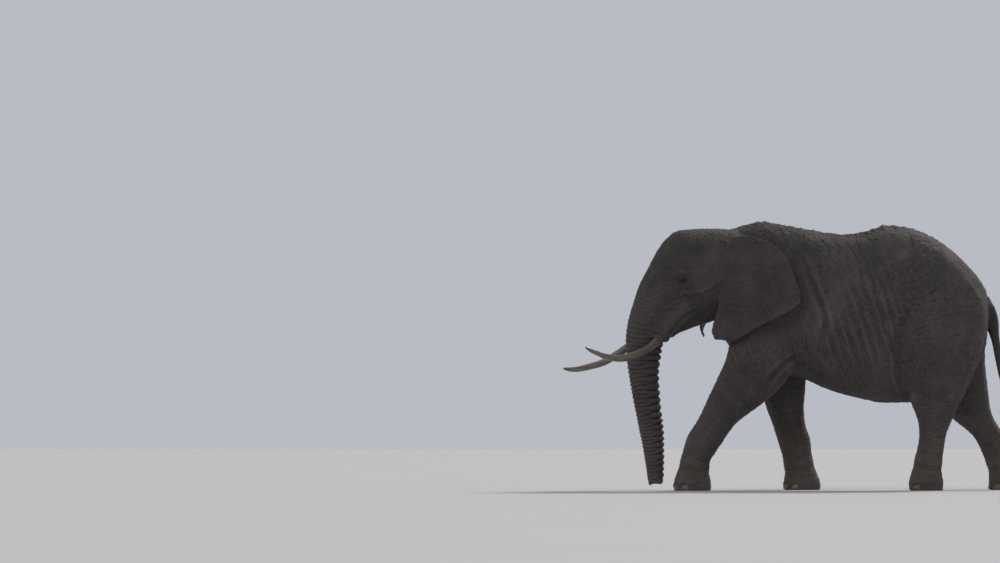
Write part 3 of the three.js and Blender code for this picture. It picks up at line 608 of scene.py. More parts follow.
def ear_sheet(side, nu=120, nv=176):
    """The ear's middle surface as a grid (nv+1, nu+1, 3), root line first."""
    lift = (26, 12) if side > 0 else (78, 93)
    v = np.linspace(0, 1, nv + 1)
    R = at(EAR_T, (len(EAR_T) - 1) * v)
    rise = 0 if side > 0 else 20 + 62 * v
    low = sstep(v, 0.82, 1.0)
    fy, fz, gy, gz = R[:, 0] - 16 * low, R[:, 1] + rise - 12 * low, R[:, 2], R[:, 3] + rise - 10 * low
    y0 = fy + (8 if side > 0 else -14)
    w = EAR_ROOT_X + EAR_ROOT_LEAN * (fz - 2400) - 0.42 * np.maximum(0, fz - 2680)
    p = np.stack([side * w, y0, fz], 1)
    if side < 0:
        p = turned(p)
    # the rim is a little uneven, with a few old tears low on its rear edge
    ragged = 1 + 0.010 * np.sin(23 * v + 1.0 + side) + 0.007 * np.sin(41 * v + 2.2 * side)
    for c, d, k in (((0.62, 0.012, 0.030), (0.80, 0.010, 0.022), (0.47, 0.008, 0.014)) if side > 0
                    else ((0.55, 0.010, 0.026), (0.73, 0.013, 0.034), (0.88, 0.008, 0.018))):
        ragged -= k * np.exp(-((v - c) / d) ** 2)
    chord = (gy - fy) * 1.03
    ripple = 10 if side > 0 else 3
    M = np.empty((nv + 1, nu + 1, 3))
    M[:, 0] = p
    q = p.copy()
    for i in range(1, nu + 1):
        u = (i - 0.5) / nu
        a = np.radians(lift[0] + (lift[1] - lift[0]) * u + ripple * np.sin(5.2 * v + 4 * u - 0.6) * u
                       + 7 * np.sin(15 * v + 2 * u + side) * u ** 3 * (1 - sstep(v, 0.72, 0.88)))
        k = 1 + (ragged - 1) * u ** 2
        q = q + np.stack([side * np.sin(a) * chord * k / nu, np.cos(a) * chord * k / nu, 0 * v], 1)
        M[:, i] = q
        M[:, i, 2] = fz + (gz - fz) * i / nu
    return M


def ear_veins(side, u, v, height):
    """Branching veins: 1 on their lines. Places go from root to rim (u) and from top to lobe (v)."""
    veins = np.zeros_like(u + v)
    rs = np.random.RandomState(5 + side)
    for k in range(9):
        v0, v1 = 0.28 + 0.05 * k + rs.uniform(-.02, .02), 0.05 + 0.105 * k + rs.uniform(-.03, .03)
        bend, du0 = rs.uniform(-.06, .06), rs.uniform(0, .15)
        vc = v0 + (v1 - v0) * u ** 0.8 + bend * np.sin(3 * u * math.pi) * 0.3 + 0.012 * np.sin(9 * u + 2 * k)
        d = np.abs(v - vc) * height
        veins = np.maximum(veins, np.exp(-(d / (12 - 5 * u)) ** 2) * sstep(u, du0, du0 + .1) * (1 - sstep(u, .75, .95)))
        for turn, u0 in ((rs.choice([-1, 1]), 0.42), (rs.choice([-1, 1]), 0.60)):
            vb = vc + np.maximum(u - u0, 0) * turn * rs.uniform(.12, .28)
            d = np.abs(v - vb) * height
            veins = np.maximum(veins, 0.75 * np.exp(-(d / 7) ** 2) * sstep(u, u0, u0 + .04) * (1 - sstep(u, .82, .97)))
    return veins


def ear_mesh(side):
    M = ear_sheet(side)
    nv, nu = M.shape[0] - 1, M.shape[1] - 1
    n0 = np.cross(np.gradient(M, axis=0), np.gradient(M, axis=1))
    n0 /= np.linalg.norm(n0, axis=2, keepdims=True)
    inner = np.linspace(0, 1, nu + 1)[None, :, None]
    Q = M.reshape(-1, 3)
    wave = (15 * noise(Q / 230, 151) + 8 * noise(Q / 95, 152) + 2.5 * noise(Q / 45, 153)).reshape(nv + 1, nu + 1, 1)
    M = M + n0 * wave * sstep(inner, 0.05, 0.3)
    du = np.gradient(M, axis=1)
    dv = np.gradient(M, axis=0)
    n = np.cross(dv, du)
    n /= np.linalg.norm(n, axis=2, keepdims=True)
    v = np.linspace(0, 1, nv + 1)[:, None]
    u = np.linspace(0, 1, nu + 1)[None]
    length = np.linalg.norm(M[:, -1] - M[:, 0], axis=1)[:, None]
    height = np.linalg.norm(np.diff(M, axis=0), axis=2).sum(0)[None]
    half = (17 + 23 * (1 - u) ** 1.4 * (0.35 + 0.65 * np.cos((v - 0.3) * 2))) / 2
    half = np.maximum(half, 8.4) + 1.2 * np.exp(-((1 - u) * length / 26) ** 2)
    edge = np.minimum(np.minimum((1 - u) * length + 0 * v, v * height + 0 * u), (1 - v) * height + 0 * u)
    rounding = np.sqrt(np.clip(1 - (1 - np.clip(edge / 13, 0, 1)) ** 2, 0.02, 1))
    # the crest curls in towards the body
    outer = 1 if (M[nv // 2, nu] - M[nv // 2, 0])[0] * n[nv // 2, nu // 2, 0] > 0 else -1
    curl = -46 * np.clip(1 - v * height / 120, 0, 1) ** 2 * sstep(u, 0.02, 0.25) * (1 - 0.4 * u)
    faces = []
    # veins spread from the root; folds crowd along it
    veins = ear_veins(side, u, v, height)
    for face in (1, -1):
        out_side = face * outer > 0
        lump = veins * (6.0 if out_side else 7.5)
        folds = 5.0 * np.cos(2 * math.pi * (u * length / 46 + 0.6 * np.sin(5 * v + face))) * np.exp(-(u / 0.2) ** 2) * sstep(u, .015, .06)
        off = face * (half * rounding) + face * lump * rounding + face * folds * 0.5 * rounding + outer * curl
        faces.append(M + n * off[..., None])
    A, B = faces
    k = (nu + 1) * (nv + 1)
    V = np.concatenate([A.reshape(-1, 3), B.reshape(-1, 3)])
    idx = np.arange(k).reshape(nv + 1, nu + 1)
    q0 = np.stack([idx[:-1, :-1], idx[:-1, 1:], idx[1:, 1:], idx[1:, :-1]], -1).reshape(-1, 4)
    q1 = q0[:, ::-1] + k
    rim = np.concatenate([idx[0, :-1], idx[:-1, -1], idx[-1, :0:-1], idx[:0:-1, 0]])
    nxt = np.roll(rim, -1)
    q2 = np.stack([rim, rim + k, nxt + k, nxt], -1)
    F = np.concatenate([q0, q1, q2]).tolist()
    return V, outward(V, F), M


# ---- the body's own places ----------------------------------------------------------
TORSO_T, SKULL_T, TRUNK_T, JAW_T, TAIL_T = (table(t) for t in (TORSO, SKULL, TRUNK, JAW, TAIL))
TORSO_T[:7, 7] = np.maximum(TORSO_T[:7, 7], 1.96)     # the withers are rounder across than the plain body
LEGS = {"left_fore": table(LEG_LF), "right_fore": table(LEG_RF), "left_hind": table(LEG_LH), "right_hind": table(LEG_RH)}


class Along:
    """Places round a loft: fractional row, length from its start, angle (0 in front, towards
    the animal's left positive) and distance from its axis over its own radius."""

    def __init__(self, T, P, lo=0.0, n=90, reach=2.2):
        s = np.linspace(lo, len(T) - 1, n)
        R = at(T, s)
        C = np.stack([R[:, 4], (R[:, 0] + R[:, 2]) / 2, (R[:, 1] + R[:, 3]) / 2], 1)
        L = np.hypot(R[:, 0] - R[:, 2], R[:, 1] - R[:, 3])
        front = np.stack([0 * L, (R[:, 0] - R[:, 2]) / L, (R[:, 1] - R[:, 3]) / L], 1)
        step = np.linalg.norm(np.diff(C, axis=0), axis=1)
        acc = np.concatenate([[0], np.cumsum(step)])
        m = len(P)
        self.s = np.zeros(m)
        self.l = np.zeros(m)
        self.th = np.zeros(m)
        self.rho = np.full(m, 9.0)
        big = reach * max(L.max() / 2, R[:, 5].max())
        near = np.where((P > C.min(0) - big).all(1) & (P < C.max(0) + big).all(1))[0]
        self.near = near
        if not len(near):
            return
        Q = P[near].astype(np.float32)
        best = np.full(len(near), 1e18, np.float32)
        bi = np.zeros(len(near), int)
        bt = np.zeros(len(near), np.float32)
        for i in range(n - 1):
            d = (C[i + 1] - C[i]).astype(np.float32)
            c = C[i].astype(np.float32)
            t = np.clip(((Q - c) @ d) / max(float(d @ d), 1e-6), 0, 1)
            e = ((Q - c - t[:, None] * d) ** 2).sum(1)
            k = e < best
            best[k] = e[k]
            bi[k] = i
            bt[k] = t[k]
        mix = lambda A: A[bi] + (A[np.minimum(bi + 1, n - 1)] - A[bi]) * (bt[:, None] if A.ndim > 1 else bt)
        c, fr, half, w = mix(C), mix(front), mix(L) / 2, mix(R[:, 5])
        fr /= np.linalg.norm(fr, axis=1, keepdims=True)
        d = Q - c
        a = (d * fr).sum(1) / half
        b = d[:, 0] / w
        self.s[near] = s[bi] + bt * (s[1] - s[0])
        self.l[near] = acc[bi] + bt * step[np.minimum(bi, n - 2)]
        self.th[near] = np.arctan2(b, a)
        self.rho[near] = np.hypot(a, b)


def anatomy(S):
    """Muscle, bone and the large folds, on the coarse skin."""
    P, N = S.V, S.normals()
    H, NH = turned(P, -1), turned(N + [0, PIVOT_Y, 0], -1) - [0, PIVOT_Y, 0]
    yz, hyz = P[:, 1:], H[:, 1:]
    head = sstep(-H[:, 1], 690, 800)
    flank = sstep(np.abs(N[:, 0]), 0.12, 0.5) * (1 - head)
    cheek = sstep(np.abs(NH[:, 0]), 0.15, 0.5) * head
    left = (P[:, 0] > 0).astype(float)
    D = np.zeros(len(P))
    uneven, uneven2 = noise(P / 210, 171), noise(P / 150, 172)

    def bump(px, py, r, amp, where=None, tall=None):
        nonlocal D
        c = place(px, py, 480)
        D = D + amp * np.exp(-((yz[:, 0] - c[0]) / r) ** 2 - ((yz[:, 1] - c[1]) / (tall or r)) ** 2) * (flank if where is None else where)

    def fold(points, width, amp, where=None, ends=0.15, lip=0.0):
        """A groove along a side-view line, with a roll beside it on the side the lip's sign says."""
        nonlocal D
        d, t = polyline_distance(yz, curve(points))
        m = (flank if where is None else where) * sstep(t, -0.01, ends) * (1 - sstep(t, 1 - ends, 1.01))
        m = m * (0.85 + 0.7 * uneven)
        d = d * (1 + 0.35 * uneven2)
        D = D - amp * np.exp(-(d / width) ** 2) * m
        if lip:
            D = D + lip * np.exp(-((d - 1.9 * width) / (1.1 * width)) ** 2) * m

    def hbump(px, py, r, amp, tall=None, where=None, w=330):
        nonlocal D
        c = head_place(px, py, w)
        D = D + amp * np.exp(-((hyz[:, 0] - c[0]) / r) ** 2 - ((hyz[:, 1] - c[1]) / (tall or r)) ** 2) * (cheek if where is None else where)

    def hfold(points, width, amp, where=None, ends=0.15, lip=0.0, w=330):
        nonlocal D
        d, t = polyline_distance(hyz, head_curve(points, w))
        m = (cheek if where is None else where) * sstep(t, -0.01, ends) * (1 - sstep(t, 1 - ends, 1.01))
        D = D - amp * np.exp(-(d / width) ** 2) * m
        if lip:
            D = D + lip * np.exp(-((d - 1.9 * width) / (1.1 * width)) ** 2) * m

    # shoulder blade: its spine, the hollows beside it, its top edge and the muscle behind
    fold([(772, 243), (768, 268), (762, 295), (757, 322)], 42, -18)
    fold([(786, 240), (783, 268), (778, 296), (772, 318)], 50, 15)
    fold([(799, 246), (806, 268), (816, 292), (824, 312), (823, 334), (812, 356)], 38, 17, ends=.35, lip=6)
    bump(797, 300, 150, 12, tall=210)
    bump(812, 268, 100, -8)
    # elbow and the fold from it to the chest
    bump(776, 366, 85, 18)
    fold([(764, 388), (775, 373), (788, 361), (806, 353)], 30, 15, ends=.35, lip=6)
    fold([(760, 377), (770, 366), (782, 355), (796, 347)], 24, 7, ends=.4)
    # haunch: the point of the hip, the hollow before it, thigh muscle, the flank fold
    bump(902, 256, 90, 30, tall=70)
    bump(880, 262, 115, -28, tall=130)
    bump(925, 250, 120, -10, tall=60)
    fold([(930, 243), (948, 258), (965, 276), (979, 297), (985, 318)], 60, -14)
    fold([(914, 272), (934, 290), (952, 308), (966, 330)], 80, 10)
    fold([(912, 300), (902, 326), (898, 354), (900, 382), (907, 400)], 58, 20, ends=.35, lip=6)
    fold([(893, 330), (888, 350), (888, 372), (893, 392)], 30, 8, ends=.4)
    fold([(890, 372), (896, 386), (903, 398), (912, 408)], 26, -14)
    bump(930, 335, 170, 12, tall=240)
    fold([(951, 330), (957, 352), (954, 376), (944, 398)], 50, 9)
    bump(914, 398, 60, 12)
    bump(950, 398, 45, 9)
    # ribs, faint
    rib = np.cos(2 * math.pi * (P[:, 1] + 0.30 * (P[:, 2] - 1900)) / 112)
    ribs = sstep(P[:, 1], 150, 420) * (1 - sstep(P[:, 1], 1020, 1300)) * sstep(P[:, 2], 1350, 1600) * (1 - sstep(P[:, 2], 2350, 2600))
    D += 4.0 * rib * ribs * flank
    # spine: a low ridge, knobbly over the loin and croup
    top = sstep(N[:, 2], 0.5, 0.9) * (1 - head)
    D += top * np.exp(-(P[:, 0] / 55) ** 2) * (7 + 3.5 * np.sin(P[:, 1] / 19.0) * sstep(P[:, 1], 700, 1300))
    D -= top * 7 * np.exp(-((np.abs(P[:, 0]) - 150) / 60) ** 2) * sstep(P[:, 1], 300, 900)
    # sheath and middle line of the belly
    c = place(881, 401)
    belly = sstep(-N[:, 2], 0.4, 0.8)
    D += 16 * np.exp(-((P[:, 1] - c[0]) / 190) ** 2 - (P[:, 0] / 75) ** 2) * belly
    D += 7 * np.exp(-(P[:, 0] / 60) ** 2) * belly * sstep(P[:, 1], -100, 200) * (1 - sstep(P[:, 1], 1500, 1750))
    # neck: folds behind the jaw and down the throat
    for k, x in enumerate((733, 742, 751)):
        fold([(x + 2, 300), (x - 3, 325), (x - 8, 345), (x - 10, 358)], 24, 8 - k, ends=.3)

    # head: hollow of the temple, cheek arch, brow, eye's hollow, jaw muscle
    hbump(704, 250, 85, -50, tall=88)
    hbump(711, 272, 62, -24, tall=52)
    hbump(690, 240, 80, 8)
    hfold([(680, 290), (691, 293), (703, 290), (714, 284)], 30, -24)
    hbump(682, 272, 48, 24, tall=24)
    hfold([(671, 279), (676, 273.5), (684, 271.5), (692, 274)], 20, -14)
    hfold([(670, 286), (676, 290), (685, 291), (692, 287)], 14, 9, lip=3)
    hfold([(660, 262), (664, 276), (668, 292), (668, 308)], 42, 12)
    hbump(683.3, 281.5, 42, -9, tall=34)
    hbump(705, 305, 75, 20, tall=58)
    hfold([(716, 300), (708, 314), (697, 321)], 26, 10)
    hbump(697, 272, 22, 7, tall=22)
    # the tusks' bony sockets stand out beside the trunk's root, with a hollow between
    hfold([(688, 300), (678, 311), (668, 322), (661, 332)], 52, -18, w=240)
    hfold([(672, 298), (662, 309), (653, 322), (648, 334)], 34, 10, w=240)
    front = head * sstep(-NH[:, 1], 0.2, 0.7)
    c = head_place(655, 262, 0)
    D -= front * 12 * np.exp(-((H[:, 2] - c[1]) / 150) ** 2 - (H[:, 0] / 120) ** 2)
    c = head_place(645, 285, 0)
    D += front * 8 * np.exp(-((H[:, 2] - c[1]) / 110) ** 2 - (H[:, 0] / 90) ** 2)
    # mouth: the line between the lips, rising to its corner under the cheek
    hfold([(661, 345), (667, 335), (675, 324.5), (684, 316), (693, 311)], 13, 20, ends=.08, lip=5, w=190)

    for name, T in LEGS.items():
        A = Along(T, P, lo=2.0)
        inside = sstep(-A.rho, -1.6, -1.25) * ((P[:, 0] > 0) == (T[5, 4] > 0))
        fore = name.endswith("fore")
        th, s = A.th, A.s
        face = lambda c, w: np.exp(-((np.angle(np.exp(1j * (th - c)))) / w) ** 2)
        row = lambda c, w: np.exp(-((s - c) / w) ** 2)
        sgn = 1 if name.startswith("left") else -1
        if fore:
            D += inside * (10 * row(5.4, 1.3) * face(0.9 * sgn, 0.8)       # forearm's muscle
                           + 7 * row(9.2, 0.9) * face(0, 0.9)              # wrist in front
                           - 6 * row(7.6, 0.7) * face(0, 0.8)
                           + 9 * row(9.6, 0.5) * face(math.pi, 0.6)        # heel of the wrist
                           - 5 * row(10.6, 0.6) * face(math.pi, 0.8))
        else:
            D += inside * (11 * row(6.2, 0.9) * face(0, 0.8)               # kneecap
                           + 8 * row(9.0, 0.7) * face(math.pi, 0.7)        # hock
                           - 5 * row(7.6, 0.8) * face(0.5 * math.pi * sgn, 0.7)
                           + 7 * row(7.3, 1.0) * face(math.pi, 0.6))
        # skin hangs a little over the ankle, the foot's cushion swells below
        D += inside * (5 * row(11.0, 0.35) - 5 * row(11.7, 0.3) + 3 * row(12.9, 0.5))
    S.V = P + D[:, None] * N
    return S



# ---- the skin, first coarse: the body without ears and tail -------------------------
def whole(vf, turn=False):
    V, F = vf
    return (turned(V) if turn else V), outward(V, F)


def long_leg(T):
    T = T.copy()
    T[-1, 1] = T[-1, 3] = -60
    return T


def collared(sheath, tusk_rows):
    """The tusk's sheath, drawn out a little along the tusk as a thin lip."""
    A, B = table(tusk_rows)[2], table(tusk_rows)[3]
    lip = A + 0.42 * (B - A)
    lip[3] = 56
    return np.concatenate([table(sheath), lip[None]])


parts = [whole(loft(TORSO_T, 110, 96, (60, 34))),
         whole(loft(SKULL_T, 80, 96, (60, 40)), True),
         whole(loft(TRUNK_T, 150, 72, (60, 14)), True),
         whole(loft(JAW_T, 60, 48, (60, 26)), True),
         whole(tube(collared(SHEATH_L, TUSK_L), 50, 40, (60, 7))),
         whole(tube(collared(SHEATH_R, TUSK_R), 50, 40, (60, 7)))]
parts += [whole(loft(long_leg(T), 120, 64, (70, 0))) for T in LEGS.values()]
me = voxels(joined(parts, "coarse"), COARSE)
S = Surface(me)
clock("coarse skin, %d points" % len(S.V))

# fillets: wide where limbs join the body, narrow at mouth and tusks
H = turned(S.V, -1)
mouth = sstep(-H[:, 1], 1180, 1300) * sstep(H[:, 2], 1500, 1620) * (1 - sstep(H[:, 2], 2150, 2300))
for k in range(70):
    if k % 8 == 0:
        N = S.normals()
        rate = (0.42 * (1 - mouth) if k >= 14 else 0.42 * np.ones(len(S.V))) * sstep(S.V[:, 2], 20, 120)
    L = ((S.mean(S.V) - S.V) * N).sum(1)
    S.V += (rate * np.maximum(L, 0))[:, None] * N
S.relax(6)
stern = sstep(S.V[:, 1], 1650, 1900) * sstep(S.V[:, 2], 850, 1300) * (1 - sstep(S.V[:, 2], 2450, 2700))
for _ in range(34):
    S.V += 0.5 * stern[:, None] * (S.mean(S.V) - S.V)
anatomy(S)
S.relax(2)
# what smoothing took off is put back
S.V += ((6 + 20 * stern * sstep(S.V[:, 1], 2000, 2350)) * sstep(S.V[:, 2], 20, 150) * (1 - 0.7 * mouth)
         * (1 - 0.9 * sstep(-S.normals()[:, 2], 0.35, 0.8)))[:, None] * S.normals()
S.V[:, 2] = np.maximum(S.V[:, 2], 0)
S.write(me)
clock("anatomy")

ob = bpy.data.objects.new("coarse", me)
bpy.context.scene.collection.objects.link(ob)
m = ob.modifiers.new("smooth", "SUBSURF")
m.levels = m.render_levels = 1
me = applied(ob)
C = Surface(me)
quads = C.F.tolist()
quads = [q if q[2] != q[3] else q[:3] for q in quads]
ears = {s: ear_mesh(s) for s in (1, -1)}
clock("ears' sheets")


# ---- the skin, fine: body, ears and tail in one --------------------------------------
pieces = [(C.V, quads)]
for s in (1, -1):
    pieces.append((ears[s][0], ears[s][1]))
# the tail's root runs on under the rump's skin, and swells where it leaves it
root = np.array([[1800, 2740, 1850, 2460, 0, 90, 0.5, 2, 2], [1960, 2645, 2000, 2370, 0, 118, 0.5, 2, 2]], float)
long_tail = np.concatenate([root, TAIL_T])
long_tail[2:6, 5] += (32, 22, 13, 5)
long_tail[2, :2] += (-16, -22)
pieces.append(whole(loft(long_tail, 110, 32, (20, 12))))
me = voxels(joined(pieces, "fine"), FINE)
S = Surface(me)
clock("fine skin, %d points, %d faces" % (len(S.V), len(S.F)))

# small fillets where ears and tail grow out of the body
N = S.normals()
P = S.V
root_zone = np.zeros(len(P))
for s in (1, -1):
    M = ears[s][2]
    R = M[:, 2]
    near = np.where((np.abs(P[:, 0] - R[:, 0].mean()) < 420) & (P[:, 2] > R[:, 2].min() - 150) & (P[:, 1] < R[:, 1].max() + 200) & (P[:, 1] > R[:, 1].min() - 200))[0]
    d, _ = polyline_distance(P[near], R[::3])
    root_zone[near] = np.maximum(root_zone[near], 1 - sstep(d, 60, 150))
root_zone = np.maximum(root_zone, sstep(P[:, 1], 1950, 2080) * sstep(P[:, 2], 1900, 2050) * (1 - sstep(P[:, 2], 2750, 2850)) * (1 - sstep(np.abs(P[:, 0]), 250, 400)))
for k in range(36):
    if k % 9 == 0:
        N = S.normals()
    L = ((S.mean(S.V) - S.V) * N).sum(1)
    S.V += (0.45 * root_zone * np.maximum(L, 0))[:, None] * N
for _ in range(3):
    S.V += 0.5 * (S.mean(S.V) - S.V) * (0.35 + 0.65 * root_zone)[:, None]
dock = np.exp(-(((S.V - [0, 2120, 2500]) / [170, 150, 130]) ** 2).sum(1))
dock[dock < 0.02] = 0
for _ in range(34):
    S.V += 0.5 * (S.mean(S.V) - S.V) * dock[:, None]
# a wide fillet above the tail, so that it leads on from the spine
rise = np.exp(-(((S.V - [0, 2040, 2650]) / [150, 170, 120]) ** 2).sum(1))
near = np.where(rise > 0.02)[0]
local = np.full(len(S.V), -1)
local[near] = np.arange(len(near))
link = local[S.E]
link = link[(link >= 0).all(1)]
links = np.maximum(np.bincount(link.ravel(), minlength=len(near)), 1)
rise = rise[near] * (np.bincount(S.E.ravel(), minlength=len(S.V))[near] == links)
for k in range(220):
    if k % 22 == 0:
        N = S.normals()[near]
    v = S.V[near]
    pull = np.stack([np.bincount(link[:, 0], v[link[:, 1], i], len(near)) + np.bincount(link[:, 1], v[link[:, 0], i], len(near)) for i in range(3)], 1)
    pull = pull / links[:, None] - v
    S.V[near] += (0.45 * rise * np.maximum((pull * N).sum(1), 0))[:, None] * N + 0.06 * rise[:, None] * pull
clock("roots")


# ---- finer faces on head and trunk, finest round the eyes ----------------------------
def refined(V, F, mask):
    """Splits the marked quads in four; neighbours take the new corners as they are."""
    four = F[:, 2] != F[:, 3]
    mask = mask & four
    f = F[mask]
    k = len(f)
    ends = np.stack([f, np.roll(f, -1, 1)], -1)
    key = np.sort(ends, -1).astype(np.int64)
    code = key[..., 0] * len(V) + key[..., 1]
    u, inv = np.unique(code.ravel(), return_inverse=True)
    a, b = u // len(V), u % len(V)
    mid = (V[a] + V[b]) / 2
    centre = V[f].mean(1)
    nv = len(V)
    e = nv + inv.reshape(k, 4)
    c = nv + len(u) + np.arange(k)
    new = np.concatenate([np.stack([f[:, i], e[:, i], c, e[:, (i + 3) % 4]], 1) for i in range(4)])
    rest = F[~mask]
    R = np.stack([rest, np.roll(rest, -1, 1)], -1)
    kk = np.sort(R, -1).astype(np.int64)
    cc = kk[..., 0] * len(V) + kk[..., 1]
    pos = np.searchsorted(u, cc)
    pos[pos == len(u)] = 0
    has = (u[pos] == cc) & (R[..., 0] != R[..., 1])
    plain = ~has.any(1)
    odd = []
    for r in np.where(~plain)[0]:
        poly = []
        for i in range(4 if rest[r, 2] != rest[r, 3] else 3):
            j = 3 if i == 2 and rest[r, 2] == rest[r, 3] else i
            poly.append(int(rest[r, i]))
            if has[r, j]:
                poly.append(nv + int(pos[r, j]))
        odd.append(poly)
    return np.concatenate([V, mid, centre]), np.concatenate([rest[plain], new]), odd


def mesh_of(V, F, odd, name):
    """A mesh from an array of quads (a triangle repeats its third corner) and some larger faces."""
    tri = F[:, 2] == F[:, 3]
    size = np.concatenate([np.where(tri, 3, 4), [len(o) for o in odd]]).astype(np.int32)
    start = np.concatenate([[0], np.cumsum(size)[:-1]]).astype(np.int32)
    keep = np.ones(F.shape, bool)
    keep[tri, 3] = False
    loops = np.concatenate([F[keep], np.array([i for o in odd for i in o], np.int64)]).astype(np.int32)
    me = bpy.data.meshes.new(name)
    me.vertices.add(len(V))
    me.vertices.foreach_set("co", ((V + SHIFT) / 1000).astype(np.float32).ravel())
    me.loops.add(len(loops))
    me.loops.foreach_set("vertex_index", loops)
    me.polygons.add(len(size))
    me.polygons.foreach_set("loop_start", start)
    me.update(calc_edges=True)
    me.validate()
    me.polygons.foreach_set("use_smooth", np.ones(len(me.polygons), bool))
    return me


def surface_of(V, F, odd):
    """A Surface from arrays, its larger faces counted by their corners' edges only."""
    me = mesh_of(V, F, odd, "tmp")
    T = Surface.__new__(Surface)
    T.V = V
    ed = np.empty(len(me.edges) * 2, np.int32)
    me.edges.foreach_get("vertices", ed)
    T.E = ed.reshape(-1, 2)
    T.deg = np.maximum(np.bincount(T.E.ravel(), minlength=len(V)), 1).astype(float)
    extra = [[o[0], o[i], o[i + 1], o[i + 1]] for o in odd for i in range(1, len(o) - 1)]
    T.F = np.concatenate([F, np.array(extra, F.dtype).reshape(-1, 4)])
    bpy.data.meshes.remove(me)
    return T


V, F, odd = S.V, S.F, []
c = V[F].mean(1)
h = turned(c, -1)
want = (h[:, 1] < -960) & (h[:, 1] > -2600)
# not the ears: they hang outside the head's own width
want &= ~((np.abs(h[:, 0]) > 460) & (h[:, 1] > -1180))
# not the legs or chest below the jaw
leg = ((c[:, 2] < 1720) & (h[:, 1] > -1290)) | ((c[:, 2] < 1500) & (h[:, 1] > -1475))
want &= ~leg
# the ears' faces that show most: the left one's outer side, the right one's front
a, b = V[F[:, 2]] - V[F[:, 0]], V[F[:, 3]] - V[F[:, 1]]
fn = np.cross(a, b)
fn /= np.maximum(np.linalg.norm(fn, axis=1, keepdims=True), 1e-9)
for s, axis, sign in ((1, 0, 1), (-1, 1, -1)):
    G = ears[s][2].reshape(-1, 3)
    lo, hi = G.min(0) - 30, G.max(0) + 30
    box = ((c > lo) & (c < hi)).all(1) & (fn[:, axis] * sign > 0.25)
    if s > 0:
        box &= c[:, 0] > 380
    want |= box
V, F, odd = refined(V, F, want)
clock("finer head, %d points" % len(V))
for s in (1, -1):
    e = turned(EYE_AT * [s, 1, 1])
    c = V[F].mean(1)
    V, F, odd2 = refined(V, F, ((c - e) ** 2).sum(1) < 85 ** 2)
    odd += odd2
S = surface_of(V, F, odd)
clock("fine surface, %d points, %d faces" % (len(S.V), len(S.F)))


# ---- where each point of the skin is ----------------------------------------------------
P = S.V
N = S.normals()
H = turned(P, -1)
NH = turned(N + [0, PIVOT_Y, 0], -1) - [0, PIVOT_Y, 0]
npts = len(P)
A_trunk = Along(TRUNK_T, H, lo=1.0, n=120)
A_tail = Along(TAIL_T, P, lo=1.0, n=60, reach=1.2)
A_leg = {k: Along(T, P, lo=2.0, n=90) for k, T in LEGS.items()}

on_trunk = np.zeros(npts)
on_trunk[A_trunk.near] = ((1 - sstep(A_trunk.rho, 1.15, 1.5)) * sstep(A_trunk.s, 2.6, 4.2))[A_trunk.near]
on_trunk *= (H[:, 1] < -1250)
on_tail = np.zeros(npts)
on_tail[A_tail.near] = ((1 - sstep(A_tail.rho, 1.3, 2.0)) * sstep(A_tail.s, 1.6, 2.6))[A_tail.near]

# ears: nearest place on each sheet
ear_u, ear_v, ear_d = np.zeros(npts), np.zeros(npts), np.full(npts, 999.0)
ear_side = np.zeros(npts)


def nearest_on(M, Q):
    """The nearest node of a sheet's grid for each point: row, column, distance."""
    M = M.astype(np.float32)
    rows, cols = M.shape[:2]
    step = 4
    coarse = M[::step, ::step]
    flat = coarse.reshape(-1, 3)
    cc = coarse.shape[1]
    bi = np.empty(len(Q), int)
    for a in range(0, len(Q), 20000):
        q = Q[a:a + 20000]
        d = (q ** 2).sum(1)[:, None] - 2 * q @ flat.T + (flat ** 2).sum(1)
        bi[a:a + 20000] = d.argmin(1)
    r0, c0 = (bi // cc) * step, (bi % cc) * step
    best = np.full(len(Q), 1e12, np.float32)
    br, bc = r0.copy(), c0.copy()
    for dr in range(-step + 1, step):
        for dc in range(-step + 1, step):
            r, c = np.clip(r0 + dr, 0, rows - 1), np.clip(c0 + dc, 0, cols - 1)
            d = ((M[r, c] - Q) ** 2).sum(1)
            k = d < best
            best[k], br[k], bc[k] = d[k], r[k], c[k]
    return br, bc, np.sqrt(best)


for s in (1, -1):
    M = ears[s][2]
    lo, hi = M.reshape(-1, 3).min(0) - 45, M.reshape(-1, 3).max(0) + 45
    near = np.where(((P > lo) & (P < hi)).all(1))[0]
    r, c, d = nearest_on(M, P[near].astype(np.float32))
    k = d < ear_d[near]
    i = near[k]
    ear_d[i], ear_side[i] = d[k], s
    r, c = r[k], c[k]
    du = M[r, np.minimum(c + 1, M.shape[1] - 1)] - M[r, np.maximum(c - 1, 0)]
    dv = M[np.minimum(r + 1, M.shape[0] - 1), c] - M[np.maximum(r - 1, 0), c]
    gap = P[i] - M[r, c]
    fu = np.clip(2 * (gap * du).sum(1) / (du ** 2).sum(1), -0.6, 0.6)
    fv = np.clip(2 * (gap * dv).sum(1) / (dv ** 2).sum(1), -0.6, 0.6)
    ear_v[i] = np.clip((r + fv) / (M.shape[0] - 1), 0, 1)
    ear_u[i] = np.clip((c + fu) / (M.shape[1] - 1), 0, 1)
on_ear = (1 - sstep(ear_d, 34, 52)) * sstep(ear_u, 0.0, 0.10)
clock("places")

